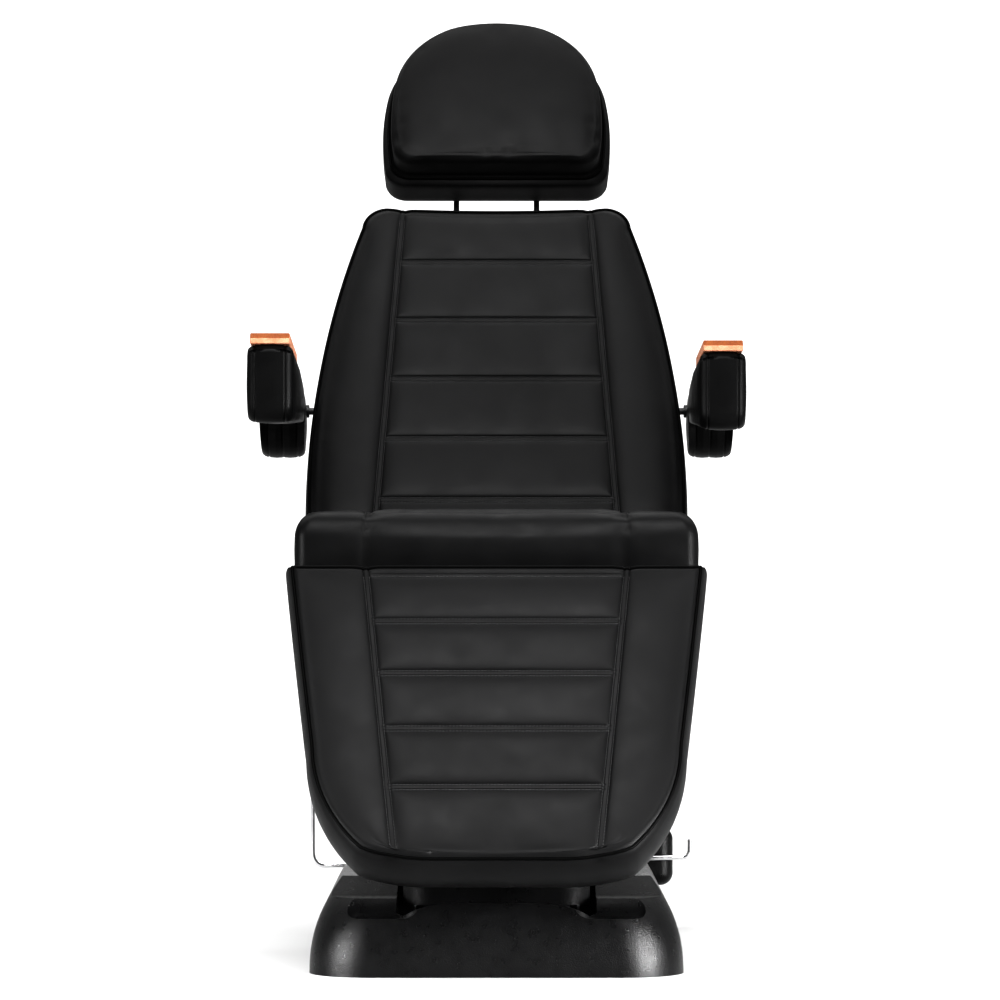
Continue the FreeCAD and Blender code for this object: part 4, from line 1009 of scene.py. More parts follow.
    def inflate(self) -> tuple[BoxGrid, Array]:
        """Fill the cushion: pressure in a cloth on a coarse grid, with the movement capped.

        Returns:
            The coarse grid and the movement of its points.
        """
        grid = self.grid(TRIAL)
        points, spots = self.layout(grid.params)
        trial = make_object(self.name + "_trial", points, grid.quads)
        hold = np.round(self.held(grid, spots), 1)
        group = trial.vertex_groups.new(name=HELD_GROUP)
        for level in np.unique(hold[hold > 0]):
            group.add(np.flatnonzero(hold == level).tolist(), float(level), "REPLACE")
        cloth = trial.modifiers.new("Fill", "CLOTH")
        for setting, value in CLOTH_SETTINGS.items():
            setattr(cloth.settings, setting, value)
        cloth.settings.uniform_pressure_force = self.pressure
        cloth.settings.effector_weights.gravity = 0.0
        cloth.point_cache.frame_start = 1
        cloth.point_cache.frame_end = SIM_FRAMES
        for number in range(1, SIM_FRAMES + 1):
            bpy.context.scene.frame_set(number)
        evaluated = trial.evaluated_get(bpy.context.evaluated_depsgraph_get())
        moved = np.zeros(grid.count * 3, np.float32)
        evaluated.data.vertices.foreach_get("co", moved)
        mesh = trial.data
        bpy.data.objects.remove(trial)
        bpy.data.meshes.remove(mesh)
        bpy.context.scene.frame_set(1)
        shift = moved.reshape(-1, 3).astype(float) - points
        length = np.linalg.norm(shift, axis=1, keepdims=True)
        return grid, shift * self.cap * np.tanh(length / self.cap) / np.maximum(length, NEAR_ZERO)

    def build(self, cover: Material, piping: Material, thread: Material) -> None:
        """Make the cushion, its welts and its stitches.

        Args:
            cover: Material of the cover.
            piping: Material of the welts.
            thread: Material of the stitches.
        """
        coarse, shift = self.inflate()
        grid = self.grid(FINISHED)
        points, spots = self.layout(grid.params)
        points = points + coarse.resample(shift, grid)
        normals = point_normals(points, grid.quads)
        sink = np.zeros(grid.count)
        # The seam attribute holds painted shade along the grooves of the seams; the cover's material
        # darkens by it.
        shade = np.zeros(grid.count)
        for seam in self.seams:
            distance, strength = seam.reach(spots)
            sink = np.maximum(sink, strength * seam.profile(distance))
            shade = np.maximum(shade, strength * seam.groove(distance, SHADE_WIDTH))
        points = points - normals * sink[:, None]
        normals = point_normals(points, grid.quads)
        pad = make_object(self.name, points, grid.quads, cover)
        pad.data.attributes.new("seam", "FLOAT", "POINT").data.foreach_set("value", shade)
        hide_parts(self.node)
        made = [pad]
        for number, share in enumerate(self.welts, start=1):
            ring = grid.ring(int(np.argmin(np.abs(grid.axes[2] - share))))
            path = points[ring] + normals[ring] * self.welt_radius * WELT_LIFT
            tube = loop_tube(path, normals[ring], self.welt_radius)
            made.append(make_object(f"{self.name}_welt_{number}", *tube, piping))
        rows = self.stitches(grid, points, normals)
        if rows is not None:
            made.append(make_object(f"{self.name}_stitches", *rows, thread))
        for piece in made:
            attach(piece, self.body)
            LOG.info("%s: %d faces", piece.name, len(piece.data.polygons))

    def on_face(self, grid: BoxGrid, values: Array, x: Array, v: Array) -> Array:
        """Values on the face at places across and along, by weights of the four points round each.

        Args:
            grid: The cushion's grid.
            values: One row for each point.
            x: Places across.
            v: Places along.

        Returns:
            One row for each place.
        """
        scale, _ = self.shrink(self.face_draw)
        u = self.row_of(v)
        _, half = self.outline.span(u)
        panel = self.panel_edge(u, half)
        wide = np.abs(x) / scale
        inner = SEAM_COLUMN * wide / panel
        outer = SEAM_COLUMN + (1 - SEAM_COLUMN) * (wide - panel) / (half - panel)
        a = np.sign(x) * np.where(wide <= panel, inner, outer)
        face = grid.patches["face"]
        row = np.interp(u, grid.axes[1], np.arange(len(grid.axes[1])))
        column = np.interp(a, grid.axes[0], np.arange(len(grid.axes[0])))
        i = np.clip(row.astype(int), 0, face.shape[0] - 2)
        j = np.clip(column.astype(int), 0, face.shape[1] - 2)
        p = (row - i)[:, None]
        q = (column - j)[:, None]
        near = values[face[i, j]] * (1 - q) + values[face[i, j + 1]] * q
        far = values[face[i + 1, j]] * (1 - q) + values[face[i + 1, j + 1]] * q
        return near * (1 - p) + far * p

    def stitches(self, grid: BoxGrid, points: Array, normals: Array) -> Pair | None:
        """Rows of stitches in the grooves of the face's seams.

        Args:
            grid: The cushion's grid.
            points: Its points.
            normals: Their normals.

        Returns:
            Points and quads of all stitches, or None where the face has no seam.
        """
        _, scale = self.shrink(self.face_draw)
        low = self.slide(self.outline.low + STITCH_MARGIN, scale)
        high = self.slide(self.outline.high - STITCH_MARGIN, scale)
        rows = [row for seam in self.seams for row in seam.stitch_rows(low, high)]
        if not rows:
            return None
        first, last = (np.concatenate(places).T for places in zip(*rows))
        facing = unit(self.on_face(grid, normals, *first))
        starts = self.on_face(grid, points, *first)
        ends = self.on_face(grid, points, *last)
        return sewn_rows(starts, ends, facing, THREAD_RADIUS)


@dataclass
class Backrest:
    """Back cushion: five cross seams between two lengthwise seams, on the leaning back."""

    low_half: float = 0.315
    mid: Point = (0.301, 0.430)
    shoulder: Point = (0.234, 0.731)
    top_half: float = 0.190
    low: float = 0.062
    low_rows: float = 0.012
    corner: float = 0.040
    thick: float = 0.095
    sag: float = 0.006
    welt: float = 0.07
    seam_count: int = 5
    first_seam: float = 0.154
    seam_pitch: float = 0.123
    panel: Panel = ((0.062, 0.204), (0.765, 0.162))

    def cushion(self) -> Cushion:
        """Lay out the cushion.

        Returns:
            The cushion with its outline and seams.
        """
        half, up = self.shoulder
        outline = RunOutline(
            ArcRun((self.low_half, self.low), self.mid, self.shoulder),
            quarter_run((self.top_half, up), half - self.top_half, self.corner),
        )
        rows = tuple(self.first_seam + i * self.seam_pitch for i in range(self.seam_count))
        return Cushion(
            "back_pad", "back_cushion", "backrest", leaning_plane(BACK_FOOT, BACK_LEAN), outline,
            self.thick, panel=self.panel, cross_rows=rows, seams=panel_seams(rows, self.panel),
            welts=(self.welt,), sag=self.sag, end_rows=(self.low_rows, self.corner),
        )


@dataclass
class Legrest:
    """Leg cushion: bowed sides that turn in to a broad end, with cross seams in the middle panel."""

    length: float = 0.514
    toe_half: float = 0.100
    heel: Point = (0.200, -0.496)
    calf: Point = (0.248, -0.433)
    knee: Point = (0.277, -0.322)
    side: Point = (0.299, -0.140)
    top_half: float = 0.315
    end_rows: Point = (0.080, 0.012)
    thick: float = 0.095
    front: Rounding = Rounding(0.012, 0.18)
    rear: Rounding = Rounding(0.014, 0.2)
    belly: float = 0.010
    welt: float = 0.045
    seam_count: int = 5
    first_seam: float = 0.0142
    seam_pitch: float = 0.0885
    seam_growth: float = 0.0043
    panel: Panel = ((-0.514, 0.151), (0.0, 0.201))

    def seam_place(self, number: int) -> float:
        """Place along of a cross seam, counted from the knee: the gaps grow evenly towards the end."""
        grown = number * (number - 1) / 2 * self.seam_growth
        return -self.first_seam - number * self.seam_pitch - grown

    def cushion(self) -> Cushion:
        """Lay out the cushion.

        Returns:
            The cushion with its outline and seams.
        """
        toe = (self.toe_half, -self.length)
        sole = ((self.toe_half + self.heel[0]) / 2, -self.length + (self.length + self.heel[1]) / 4)
        outline = RunOutline(
            ArcRun(toe, sole, self.heel),
            ArcRun(self.heel, self.calf, self.knee),
            ArcRun(self.knee, self.side, (self.top_half, 0.0)),
        )
        rows = tuple(self.seam_place(number) for number in range(self.seam_count))
        return Cushion(
            "leg_pad", "leg_cushion", "legrest", leaning_plane(LEG_TOP, BACK_LEAN), outline,
            self.thick, front=self.front, rear=self.rear, belly=self.belly, panel=self.panel,
            cross_rows=rows, seams=panel_seams(rows, self.panel), welts=(self.welt,),
            end_rows=self.end_rows,
        )


@dataclass
class Headrest:
    """Head pad in two layers: a drawn-in front layer with a welt where it meets the fuller rear one."""

    low: float = 0.855
    corner: float = 0.036
    chin_half: float = 0.1965
    widest: Point = (0.201, 0.942)
    cheek: Point = (0.195, 1.038)
    temple: Point = (0.164, 1.115)
    brow: Point = (0.086, 1.173)
    top: float = 1.186
    crest_half: float = 0.006
    crest_drop: float = 0.0001
    top_rows: float = 0.060
    thick: float = 0.105
    front: Rounding = Rounding(0.012, 0.14)
    rear: Rounding = Rounding(0.010, 0.14)
    ledge: Triple = (0.015, 0.38, 0.52)
    pin: float = 0.8
    crown: float = 0.007
    welt: float = 0.43
    pressure: float = 1.5
    cap: float = 0.003

    def cushion(self) -> Cushion:
        """Lay out the cushion.

        Returns:
            The cushion with its outline.
        """
        chin = (self.chin_half, self.low + self.corner)
        forehead = (self.brow[0] / 2, self.top - (self.top - self.brow[1]) / 4)
        crest = (self.crest_half, self.top - self.crest_drop)
        outline = RunOutline(
            quarter_run((self.chin_half - self.corner, chin[1]), self.corner, -self.corner),
            ArcRun(chin, self.widest, self.cheek),
            ArcRun(self.cheek, self.temple, self.brow),
            ArcRun(self.brow, forehead, crest),
        )
        return Cushion(
            "head_pad", "headrest_pad", "headrest", leaning_plane(BACK_FOOT, BACK_LEAN), outline,
            self.thick, front=self.front, rear=self.rear, ledge=self.ledge, pin=self.pin, crown=self.crown,
            welts=(self.welt,), end_rows=(self.corner, self.top_rows), pressure=self.pressure,
            cap=self.cap,
        )


@dataclass
class Seat:
    """Seat cushion: a high rolled front edge, falling to the rear, in three panels."""

    half: float = 0.316
    front: float = -0.212
    rear: float = 0.190
    crest: float = 0.705
    corner: float = 0.020
    thick: float = 0.120
    front_rim: Rounding = Rounding(0.030, 0.34, 2.0)
    rear_rim: Rounding = Rounding(0.008, 0.12)
    level_end: float = -0.160
    rear_fall: float = 0.050
    seam_turn: float = 0.06
    panel: Panel = ((-0.205, 0.201), (0.190, 0.204))

    def cushion(self) -> Cushion:
        """Lay out the cushion.

        Returns:
            The cushion with its outline and seams.
        """
        flat = self.half - self.corner
        low = self.front + self.corner
        high = self.rear - self.corner
        outline = RunOutline(
            quarter_run((flat, low), self.corner, -self.corner),
            ArcRun((self.half, low), (self.half, 0.0), (self.half, high)),
            quarter_run((flat, high), self.corner, self.corner),
        )
        seams: list[Seam] = [LengthSeam(panel=self.panel, over_end=self.front + self.seam_turn)]
        fall = (np.array([self.front, self.level_end, self.rear]), np.array([0.0, 0.0, self.rear_fall]))
        return Cushion(
            "seat_pad", "seat_cushion", "carriage", leaning_plane((0.0, self.crest), 90.0), outline,
            self.thick, front=self.front_rim, rear=self.rear_rim, panel=self.panel, seams=seams,
            welts=(), fall=fall, end_rows=(self.corner, self.corner),
        )


@dataclass
class Armrest:
    """Padded arm on the bolt at the side of the back, with a seam along each edge and one under the hub."""

    side: Side
    droop: float
    inner: float = 0.328
    width: float = 0.075
    bolt: Point = (0.51148, 0.88554)
    rim: Rounding = Rounding(0.014, 0.24)
    crown: float = 0.003
    crown_run: float = 0.05
    edge_seams: Point = (0.17, 0.83)
    edge_depth: float = 0.0013
    edge_dip: float = 0.0012
    under_start: float = 0.44
    under_depth: float = 0.0012
    under_dip: float = 0.0010
    hub_row_count: int = 16
    hub_row_start: float = 0.05
    step: float = 0.008
    cap: float = 0.003

    def plane(self) -> Plane:
        """Plane of the arm's inner side, turned about the bolt by the droop.

        Returns:
            The plane, with its depth towards the outside.
        """
        s = math.sin(math.radians(self.droop))
        c = math.cos(math.radians(self.droop))
        y, z = self.bolt
        sign = float(self.side.value)
        origin = (sign * self.inner, y - y * c + z * s, z - y * s - z * c)
        return Plane(origin, (0.0, -s, c), (0.0, c, s), (sign, 0.0, 0.0))

    def seams(self) -> list[Seam]:
        """Sew the edges and the underside of the hub.

        Returns:
            The seams.
        """
        single = {"kind": SeamKind.SINGLE, "thick": self.width}
        edges = [
            BandSeam(depth=self.edge_depth, dip=self.edge_dip, share=share, **single)
            for share in self.edge_seams
        ]
        under = BandSeam(
            depth=self.under_depth, dip=self.under_dip, starts=self.under_start, lower_side=True, **single
        )
        return [*edges, under]

    def cushion(self) -> Cushion:
        """Lay out the cushion.

        Returns:
            The cushion with its outline and seams.
        """
        name = self.side.name.lower()
        neck = ArmOutline.high - 2 * ArmOutline.hub_radius
        angles = np.linspace(self.hub_row_start, math.pi / 2, self.hub_row_count)
        hub_rows = tuple(neck + ArmOutline.hub_radius * (1 - np.cos(angles)))
        return Cushion(
            f"{name}_arm_pad", f"{name}_armrest_pad", f"{name}_armrest", self.plane(), ArmOutline(),
            self.width, front=self.rim, rear=self.rim, crown=self.crown, rear_crown=self.crown,
            crown_run=self.crown_run, seams=self.seams(), welts=(), extra_rows=hub_rows,
            end_rows=(ArmOutline.nose, ArmOutline.hub_radius), step=self.step, cap=self.cap,
        )


class NodeGraph:
    """Node tree of one material, with short calls to add and join nodes."""

    def __init__(self, name: str) -> None:
        """Start a material with only its shader, output and coordinates.

        Args:
            name: Name of the material.
        """
        self.material = bpy.data.materials.new(name)
        self.material.use_nodes = True
        self.tree = self.material.node_tree
        self.tree.nodes.clear()
        self.shader = self.add("ShaderNodeBsdfPrincipled")
        output = self.add("ShaderNodeOutputMaterial")
        self.join(self.shader.outputs["BSDF"], output.inputs["Surface"])
        self.coordinates = self.add("ShaderNodeTexCoord").outputs["Object"]

    def add(self, kind: str, settings: dict[str, object] | None = None,
            inputs: dict[str, object] | None = None) -> bpy.types.Node:
        """Add a node.

        Args:
            kind: Type of the node.
            settings: Its properties.
            inputs: Values of its sockets.

        Returns:
            The node.
        """
        made = self.tree.nodes.new(kind)
        for key, value in (settings or {}).items():
            setattr(made, key, value)
        for key, value in (inputs or {}).items():
            made.inputs[key].default_value = value
        return made

    def join(self, source: Socket, target: Socket) -> None:
        """Link two sockets."""
        self.tree.links.new(source, target)

    def feed(self, source: Socket, socket: str) -> None:
        """Link a value to a socket of the shader."""
        self.join(source, self.shader.inputs[socket])

    def set(self, **values: object) -> None:
        """Set sockets of the shader, with underscores for spaces."""
        for key, value in values.items():
            self.shader.inputs[key.replace("_", " ")].default_value = value

    def noise(self, scale: float, detail: float = 2.0, stretch: Triple | None = None,
              roughness: float = 0.5) -> Socket:
        """Noise on the object's coordinates.

        Args:
            scale: Scale of the noise.
            detail: Number of finer layers.
            stretch: Factors along the axes, if it is stretched.
            roughness: Strength of the finer layers.

        Returns:
            The noise's value.
        """
        source = self.coordinates
        if stretch is not None:
            mapping = self.add("ShaderNodeMapping", inputs={"Scale": stretch})
            self.join(source, mapping.inputs["Vector"])
            source = mapping.outputs["Vector"]
        values = {"Scale": scale, "Detail": detail, "Roughness": roughness}
        made = self.add("ShaderNodeTexNoise", inputs=values)
        self.join(source, made.inputs["Vector"])
        return made.outputs["Fac"]

    def cells(self, scale: float) -> Socket:
        """Pattern of cells on the object's coordinates.

        Args:
            scale: Scale of the pattern.

        Returns:
            Distance from the middle of the cell.
        """
        made = self.add("ShaderNodeTexVoronoi", inputs={"Scale": scale})
        self.join(self.coordinates, made.inputs["Vector"])
        return made.outputs["Distance"]

    def ramp(self, source: Socket, stops: list[tuple[float, Triple]]) -> Socket:
        """Colour from a value, through stops.

        Args:
            source: The value.
            stops: Values with their colours, the outer two first.

        Returns:
            The colour.
        """
        made = self.add("ShaderNodeValToRGB")
        elements = made.color_ramp.elements
        for number, (place, colour) in enumerate(stops):
            stop = elements[number] if number < 2 else elements.new(place)
            stop.position = place
            stop.color = (*colour, 1.0)
        self.join(source, made.inputs["Fac"])
        return made.outputs["Color"]

    def mottle(self, source: Socket, colour: Triple, dark: float, light: float) -> Socket:
        """Colour that a noise carries from a darker to a lighter shade."""
        return self.ramp(source, [(NOISE_LOW, scaled(colour, dark)), (NOISE_HIGH, scaled(colour, light))])

    def between(self, source: Socket, low: float, high: float) -> Socket:
        """Noise carried onto a range.

        Args:
            source: The noise's value.
            low: First value of the range.
            high: Last value of the range.

        Returns:
            The value in the range.
        """
        values = {"From Min": NOISE_LOW, "From Max": NOISE_HIGH, "To Min": low, "To Max": high}
        made = self.add("ShaderNodeMapRange", inputs=values)
        self.join(source, made.inputs["Value"])
        return made.outputs["Result"]

    def product(self, first: Socket, second: Socket) -> Socket:
        """Product of two values.

        Args:
            first: One value.
            second: The other.

        Returns:
            The product.
        """
        made = self.add("ShaderNodeMath", {"operation": "MULTIPLY"})
        self.join(first, made.inputs[0])
        self.join(second, made.inputs[1])
        return made.outputs["Value"]

    def multiply_colour(self, under: Socket, over: Socket, strength: float) -> Socket:
        """Colour multiplied by another: darker pores, or painted shade, over it.

        Args:
            under: The colour below.
            over: The colour it is multiplied by.
            strength: Share of the product that shows.

        Returns:
            The colour of both.
        """
        settings = {"data_type": "RGBA", "blend_type": "MULTIPLY"}
        made = self.add("ShaderNodeMix", settings, {"Factor": strength})
        self.join(under, made.inputs["A"])
        self.join(over, made.inputs["B"])
        return made.outputs["Result"]

    def bump(self, height: Socket, distance: float, strength: float, under: Socket | None = None) -> Socket:
        """Bumped normal from a height.

        Args:
            height: The height.
            distance: Height of the bumps.
            strength: Strength of the bumps.
            under: Normal that is bumped already, if there is one.

        Returns:
            The normal.
        """
        made = self.add("ShaderNodeBump", inputs={"Distance": distance, "Strength": strength})
        self.join(height, made.inputs["Height"])
        if under is not None:
            self.join(under, made.inputs["Normal"])
        return made.outputs["Normal"]


def scaled(colour: Triple, by: float) -> Triple:
    """Colour made lighter or darker."""
    return (colour[0] * by, colour[1] * by, colour[2] * by)


@dataclass(frozen=True)
class Finish(ABC):
    """Finish of a piece, under the name of its material."""

    name: str

    @abstractmethod
    def paint(self, graph: NodeGraph) -> None:
        """Add the nodes of the finish."""

    def material(self) -> Material:
        """Build the material.

        Returns:
            The material.
        """
        graph = NodeGraph(self.name)
        self.paint(graph)
        return graph.material


@dataclass(frozen=True)
class Leatherette(Finish):
    """Black grained cover: fine pebbles, slow tone changes, painted shade in the grooves, and gathers at
    seams.
    """

    name: str = "black_leatherette"
    colour: Triple = (0.0032, 0.0032, 0.0033)
    grain: float = 1150.0
    gloss: float = 0.10
    groove_shade: float = 0.25
    rough: Point = (0.40, 0.50)

    def paint(self, graph: NodeGraph) -> None:
        """Add the cover's colour with painted shade in its seam grooves, its roughness, and its three
        layers of relief.

        Args:
            graph: Node tree of the material.
        """
        graph.set(Specular_IOR_Level=self.gloss)
        shade = graph.mottle(graph.noise(7.0, detail=3.0), self.colour, dark=0.82, light=1.2)
        seam = graph.add("ShaderNodeAttribute", {"attribute_name": "seam"}).outputs["Fac"]
        # Painted shade in the seam grooves: the cover darkens there to a share of its colour.
        dark = graph.add("ShaderNodeMix", {"data_type": "RGBA"})
        dark.inputs["B"].default_value = (*scaled(self.colour, self.groove_shade), 1.0)
        graph.join(shade, dark.inputs["A"])
        graph.join(seam, dark.inputs["Factor"])
        graph.feed(dark.outputs["Result"], "Base Color")
        graph.feed(graph.between(graph.noise(22.0, detail=4.0), *self.rough), "Roughness")
        pebbles = graph.bump(graph.cells(self.grain), distance=0.00025, strength=0.35)
        gathers = graph.product(seam, graph.noise(160.0, detail=1.0))
        gathered = graph.bump(gathers, distance=0.0006, strength=0.5, under=pebbles)
        waves = graph.noise(34.0, detail=3.0)
        graph.feed(graph.bump(waves, distance=0.0010, strength=0.12, under=gathered), "Normal")


@dataclass(frozen=True)
class Thread(Finish):
    """Twisted black sewing thread."""

    name: str = "black_thread"
    colour: Triple = (0.018, 0.018, 0.019)
    gloss: float = 0.3
    sheen: float = 0.2
    rough: Point = (0.5, 0.75)

    def paint(self, graph: NodeGraph) -> None:
        """Add the twist as shade, roughness and relief.

        Args:
            graph: Node tree of the material.
        """
        graph.set(Specular_IOR_Level=self.gloss, Sheen_Weight=self.sheen)
        twist = graph.noise(2600.0, detail=1.0)
        graph.feed(graph.mottle(twist, self.colour, dark=0.6, light=1.5), "Base Color")
        graph.feed(graph.between(twist, *self.rough), "Roughness")
        graph.feed(graph.bump(twist, distance=0.0001, strength=0.5), "Normal")


@dataclass(frozen=True)
class Moulding(Finish):
    """Moulded plastic with an orange-peel grain."""

    colour: Triple
    grain: float = 420.0
    relief: float = 0.0007
    rough: Point = (0.36, 0.48)
    gloss: float = 0.5

    def paint(self, graph: NodeGraph) -> None:
        """Add slow shade changes, roughness, and the peel with finer cells over it.

        Args:
            graph: Node tree of the material.
        """
        graph.set(Specular_IOR_Level=self.gloss)
        slow = graph.noise(11.0, detail=4.0)
        graph.feed(graph.mottle(slow, self.colour, dark=0.8, light=1.25), "Base Color")
        graph.feed(graph.between(graph.noise(60.0, detail=4.0), *self.rough), "Roughness")
        peel = graph.bump(graph.noise(self.grain, roughness=0.6), distance=self.relief, strength=0.55)
        cells = graph.cells(self.grain * 2.1)
        graph.feed(graph.bump(cells, distance=self.relief * 0.5, strength=0.3, under=peel), "Normal")


@dataclass(frozen=True)
class HoneyWood(Finish):
    """Lacquered honey-coloured wood, with its grain along the arm and painted shade where it faces up."""

    name: str = "honey_wood"
    pale: Triple = (0.60, 0.31, 0.205)
    deep: Triple = (0.48, 0.20, 0.115)
    # Colour of the painted shade on faces that point up.
    edge: Triple = (0.38, 0.235, 0.09)
    pore: Triple = (0.55, 0.45, 0.35)
    clear: Triple = (1.0, 1.0, 1.0)
    gloss: float = 0.12
    rough: Point = (0.42, 0.55)

    def paint(self, graph: NodeGraph) -> None:
        """Add the rings, the pores over them, and painted shade that darkens where the wood faces up.

        Args:
            graph: Node tree of the material.
        """
        graph.set(Specular_IOR_Level=self.gloss)
        rings = graph.noise(9.0, detail=5.0, stretch=(7.0, 0.55, 7.0), roughness=0.6)
        middle = tuple((p + d) / 2 for p, d in zip(self.pale, self.deep))
        tone = graph.ramp(rings, [(0.32, self.deep), (0.68, self.pale), (0.5, middle)])
        pores = graph.noise(240.0, stretch=(3.0, 0.08, 3.0))
        grained = graph.multiply_colour(tone, graph.ramp(pores, [(0.35, self.pore), (0.55, self.clear)]), 0.5)
        # Painted shade: the colour is multiplied by a darker orange where the object-space normal points
        # up.
        facing = graph.add("ShaderNodeSeparateXYZ")
        graph.join(graph.coordinates.node.outputs["Normal"], facing.inputs["Vector"])
        painted_shade = graph.ramp(facing.outputs["Z"], [(0.15, self.clear), (0.45, self.edge)])
        graph.feed(graph.multiply_colour(grained, painted_shade, 1.0), "Base Color")
        graph.feed(graph.between(rings, *self.rough), "Roughness")
        graph.feed(graph.bump(pores, distance=0.0002, strength=0.25), "Normal")


@dataclass(frozen=True)
class BrightMetal(Finish):
    """Plated or turned metal, with fine scratches along one way."""

    colour: Triple
    rough: Point
    scratch: Triple = (1.0, 0.05, 1.0)

    def paint(self, graph: NodeGraph) -> None:
        """Add the metal's shade, and the scratches as roughness and relief.

        Args:
            graph: Node tree of the material.
        """
        graph.set(Metallic=1.0)
        lines = graph.noise(900.0, stretch=self.scratch)
        slow = graph.noise(30.0, detail=3.0)
        graph.feed(graph.mottle(slow, self.colour, dark=0.92, light=1.0), "Base Color")
        graph.feed(graph.between(lines, *self.rough), "Roughness")
        graph.feed(graph.bump(lines, distance=0.00005, strength=0.15), "Normal")


@dataclass(frozen=True)
class DullCoat(Finish):
    """Powder coat, rubber or woven lining: a dull dark surface with a fine texture."""

    colour: Triple
    texture: float
    relief: float
    rough: Point
    gloss: float = 0.4

    def paint(self, graph: NodeGraph) -> None:
        """Add slow shade changes, and the texture as roughness and relief.

        Args:
            graph: Node tree of the material.
        """
        graph.set(Specular_IOR_Level=self.gloss)
        fine = graph.noise(self.texture, detail=3.0)
        slow = graph.noise(14.0, detail=4.0)
        graph.feed(graph.mottle(slow, self.colour, dark=0.75, light=1.3), "Base Color")
        graph.feed(graph.between(fine, *self.rough), "Roughness")
        graph.feed(graph.bump(fine, distance=self.relief, strength=0.4), "Normal")


# Piping darker and duller than the cover: its own black plus painted shade along the welts.
PIPING = Leatherette("black_piping_with_painted_shade", (0.0008, 0.0008, 0.0008), grain=1600.0, gloss=0.035)
BASE_MOULDING = Moulding(
    "black_moulding", (0.003, 0.003, 0.0031), grain=520.0, relief=0.0009, rough=(0.26, 0.34), gloss=0.2
)
GREY_MOULDING = Moulding(
    "grey_moulding", (0.16, 0.16, 0.165), grain=800.0, relief=0.0003, rough=(0.45, 0.6)
)
CHROME = BrightMetal("chrome", (0.86, 0.86, 0.87), rough=(0.05, 0.12))
TURNED_STEEL = BrightMetal("turned_steel", (0.60, 0.61, 0.62), rough=(0.25, 0.42), scratch=(0.05, 1.0, 1.0))
LINING = DullCoat("black_lining", (0.008, 0.008, 0.0085), texture=1500.0, relief=0.0003, rough=(0.75, 0.9))
RUBBER = DullCoat("black_rubber", (0.02, 0.02, 0.02), texture=700.0, relief=0.0002, rough=(0.7, 0.85))
POWDER_COAT = DullCoat(
    "black_powder_coat", (0.008, 0.008, 0.009), texture=900.0, relief=0.0003, rough=(0.42, 0.6)
)
SLOT_FINISHES: dict[str, Finish] = {
    "upholstery": Leatherette(),
    "board": LINING,
    "armrest_wood": HoneyWood(),
    "base_plastic": BASE_MOULDING,
    "dark_plastic": GREY_MOULDING,
    "chrome_rod": CHROME,
    "bright_steel": TURNED_STEEL,
    "foot_rubber": RUBBER,
    "frame_paint": POWDER_COAT,
}


class Finishes:
    """Materials of the chair, made once each."""

    def __init__(self) -> None:
        """Make the thread, the piping and the material of every slot of the frame."""
        self.thread = Thread().material()
        self.piping = PIPING.material()
        self.by_slot = {slot: finish.material() for slot, finish in SLOT_FINISHES.items()}

    def dress_nodes(self) -> None:
        """Give each node of the frame the material of its slot."""
        for name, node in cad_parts.items():
            for slot in node.material_slots:
                slot.material = self.by_slot[slot.material.name.split(".")[0]]
            LOG.info("%s: %s", name, node.material_slots[0].material.name)


@dataclass(frozen=True)
class Softbox:
    """Rectangular light at a place that faces a target; power is in watts, the beam's spread in degrees."""

    name: str
    place: Triple
    target: Triple
    size: Point
    power: float
    spread: float

    def build(self) -> None:
        """Make the light and turn it to its target."""
        data = bpy.data.lights.new(self.name, "AREA")
        data.shape = "RECTANGLE"
        data.size, data.size_y = self.size
        data.energy = self.power
        data.spread = math.radians(self.spread)
        lamp = bpy.data.objects.new(self.name, data)
        lamp.location = self.place
        way = np.asarray(self.target) - np.asarray(self.place)
        level = math.hypot(way[0], way[1])
        lamp.rotation_euler = (math.atan2(level, -way[2]), 0.0, math.atan2(way[1], way[0]) - math.pi / 2)
        bpy.context.scene.collection.objects.link(lamp)


SOFTBOXES = (
    Softbox("key", (0.0, -2.2, 3.1), (0.0, -0.1, 0.6), (1.8, 1.2), power=60.0, spread=130.0),
    Softbox("upper", (0.0, -0.3, 2.9), (0.0, 0.6, 1.35), (1.2, 0.7), power=1.8, spread=36.0),
    Softbox("left", (-2.6, -2.0, 0.6), (0.0, -0.4, 0.08), (0.45, 1.0), power=10.0, spread=40.0),
    Softbox("right", (2.6, -2.4, 0.6), (0.0, -0.4, 0.08), (1.0, 1.0), power=26.0, spread=40.0),
    Softbox("backdrop", (0.0, 6.5, 6.0), (0.0, 6.5, 0.0), (12.0, 11.0), power=640.0, spread=120.0),
)


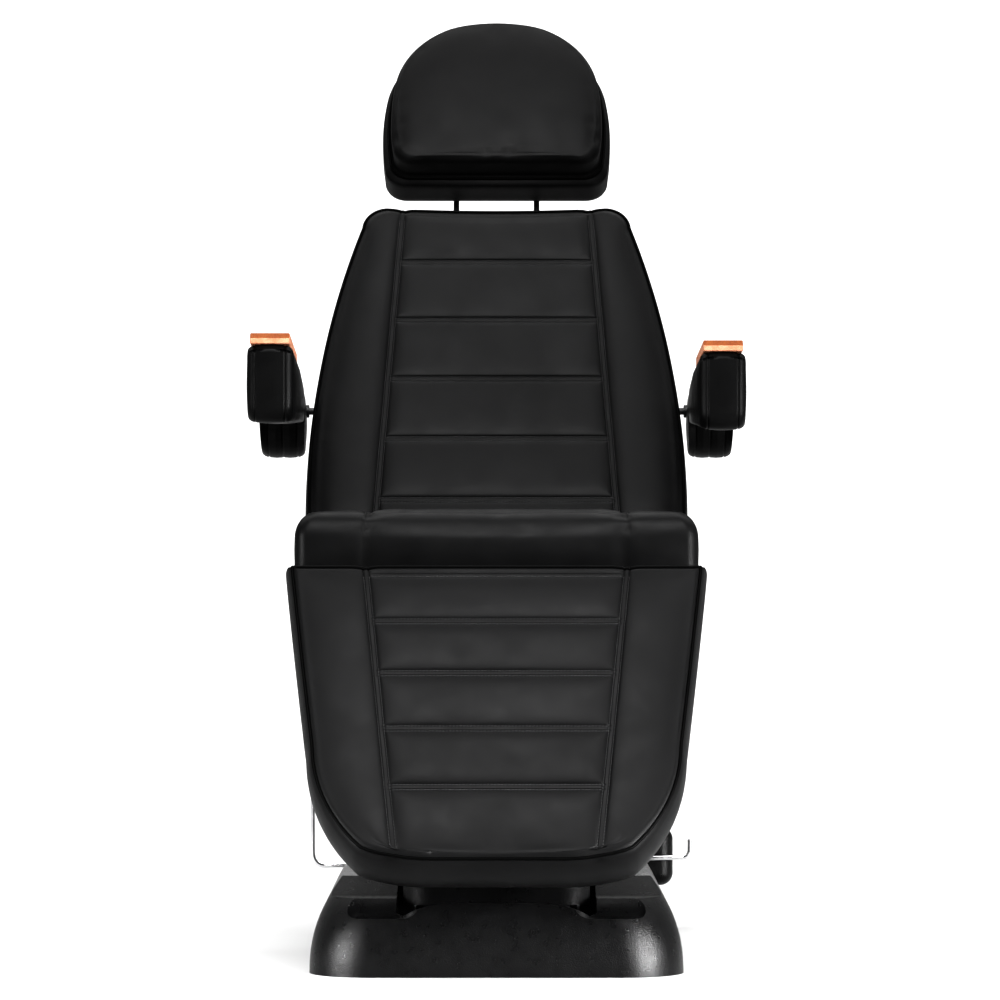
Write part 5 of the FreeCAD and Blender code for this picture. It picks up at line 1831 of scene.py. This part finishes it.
@dataclass
class Studio:
    """Pale floor, soft lights and the camera in front of the chair.

    Attributes:
        distance: How far in front of the origin the camera stands.
        height: Height of the camera.
        lens: Focal length in millimetres.
        sensor: Width of the sensor in millimetres.
        shift: Shift of the frame across and up, in widths of the picture.
        far: Distance at which the camera's sight ends.
        floor_half: Half of the floor's width.
        floor_tones: Darkest and palest grey of the floor.
        room: Way towards the rear where the room's glow starts and ends to grow, and its two strengths.
        backdrop: The same for the white backdrop.
    """

    distance: float = 7.310
    height: float = 0.630
    lens: float = 163.8
    sensor: float = 36.0
    shift: Point = (0.0035, 0.06)
    far: float = 100.0
    floor_half: float = 8.5
    floor_tones: Point = (0.60, 0.62)
    room: tuple[float, float, float, float] = (-0.6, 0.7, 0.26, 0.36)
    backdrop: tuple[float, float, float, float] = (0.965, 0.986, 0.0, 0.7)

    def build(self) -> None:
        """Set up the floor, the surroundings, the lights and the camera."""
        self.floor()
        self.sky()
        for softbox in SOFTBOXES:
            softbox.build()
        self.camera()

    def floor(self) -> None:
        """Plain pale floor under the chair."""
        graph = NodeGraph("pale_floor")
        graph.set(Roughness=0.9, Specular_IOR_Level=0.0)
        dark, pale = self.floor_tones
        tone = graph.ramp(graph.noise(3.0), [(NOISE_LOW, (dark,) * 3), (NOISE_HIGH, (pale,) * 3)])
        graph.feed(tone, "Base Color")
        square = np.array([[-1.0, -1.0, 0.0], [1.0, -1.0, 0.0], [1.0, 1.0, 0.0], [-1.0, 1.0, 0.0]])
        corners = self.floor_half * square
        make_object("floor", corners, np.array([[0, 1, 2, 3]]), graph.material)

    def sky(self) -> None:
        """Surroundings that brighten from front to rear, with a white backdrop straight behind."""
        world = bpy.data.worlds.new("studio")
        world.use_nodes = True
        tree = world.node_tree
        way = tree.nodes.new("ShaderNodeSeparateXYZ")
        tree.links.new(tree.nodes.new("ShaderNodeTexCoord").outputs["Generated"], way.inputs["Vector"])
        total = tree.nodes.new("ShaderNodeMath")
        for number, stretch in enumerate((self.room, self.backdrop)):
            glow = tree.nodes.new("ShaderNodeMapRange")
            glow.interpolation_type = "SMOOTHSTEP"
            for socket, value in zip(("From Min", "From Max", "To Min", "To Max"), stretch):
                glow.inputs[socket].default_value = value
            tree.links.new(way.outputs["Y"], glow.inputs["Value"])
            tree.links.new(glow.outputs["Result"], total.inputs[number])
        tree.nodes["Background"].inputs["Color"].default_value = (1.0, 1.0, 1.0, 1.0)
        tree.links.new(total.outputs["Value"], tree.nodes["Background"].inputs["Strength"])
        bpy.context.scene.world = world
        bpy.context.scene.view_settings.view_transform = "Standard"
        bpy.context.scene.view_settings.look = "High Contrast"

    def camera(self) -> None:
        """Level camera in front, with a small shift for the frame."""
        data = bpy.data.cameras.new("camera")
        data.lens = self.lens
        data.sensor_width = self.sensor
        data.shift_x, data.shift_y = self.shift
        data.clip_end = self.far
        made = bpy.data.objects.new("camera", data)
        made.location = (0.0, -self.distance, self.height)
        made.rotation_euler = (math.pi / 2, 0.0, 0.0)
        bpy.context.scene.collection.objects.link(made)
        bpy.context.scene.camera = made


def main() -> None:
    """Dress the frame, build the cushions, and set up the studio."""
    logging.basicConfig(level=logging.INFO, format="%(name)s %(message)s")
    finishes = Finishes()
    finishes.dress_nodes()
    arms = (Armrest(Side.LEFT, droop=0.0), Armrest(Side.RIGHT, droop=1.4))
    for builder in (Backrest(), Legrest(), Headrest(), Seat(), *arms):
        builder.cushion().build(finishes.by_slot["upholstery"], finishes.piping, finishes.thread)
    Studio().build()


if __name__ == "__main__":
    main()
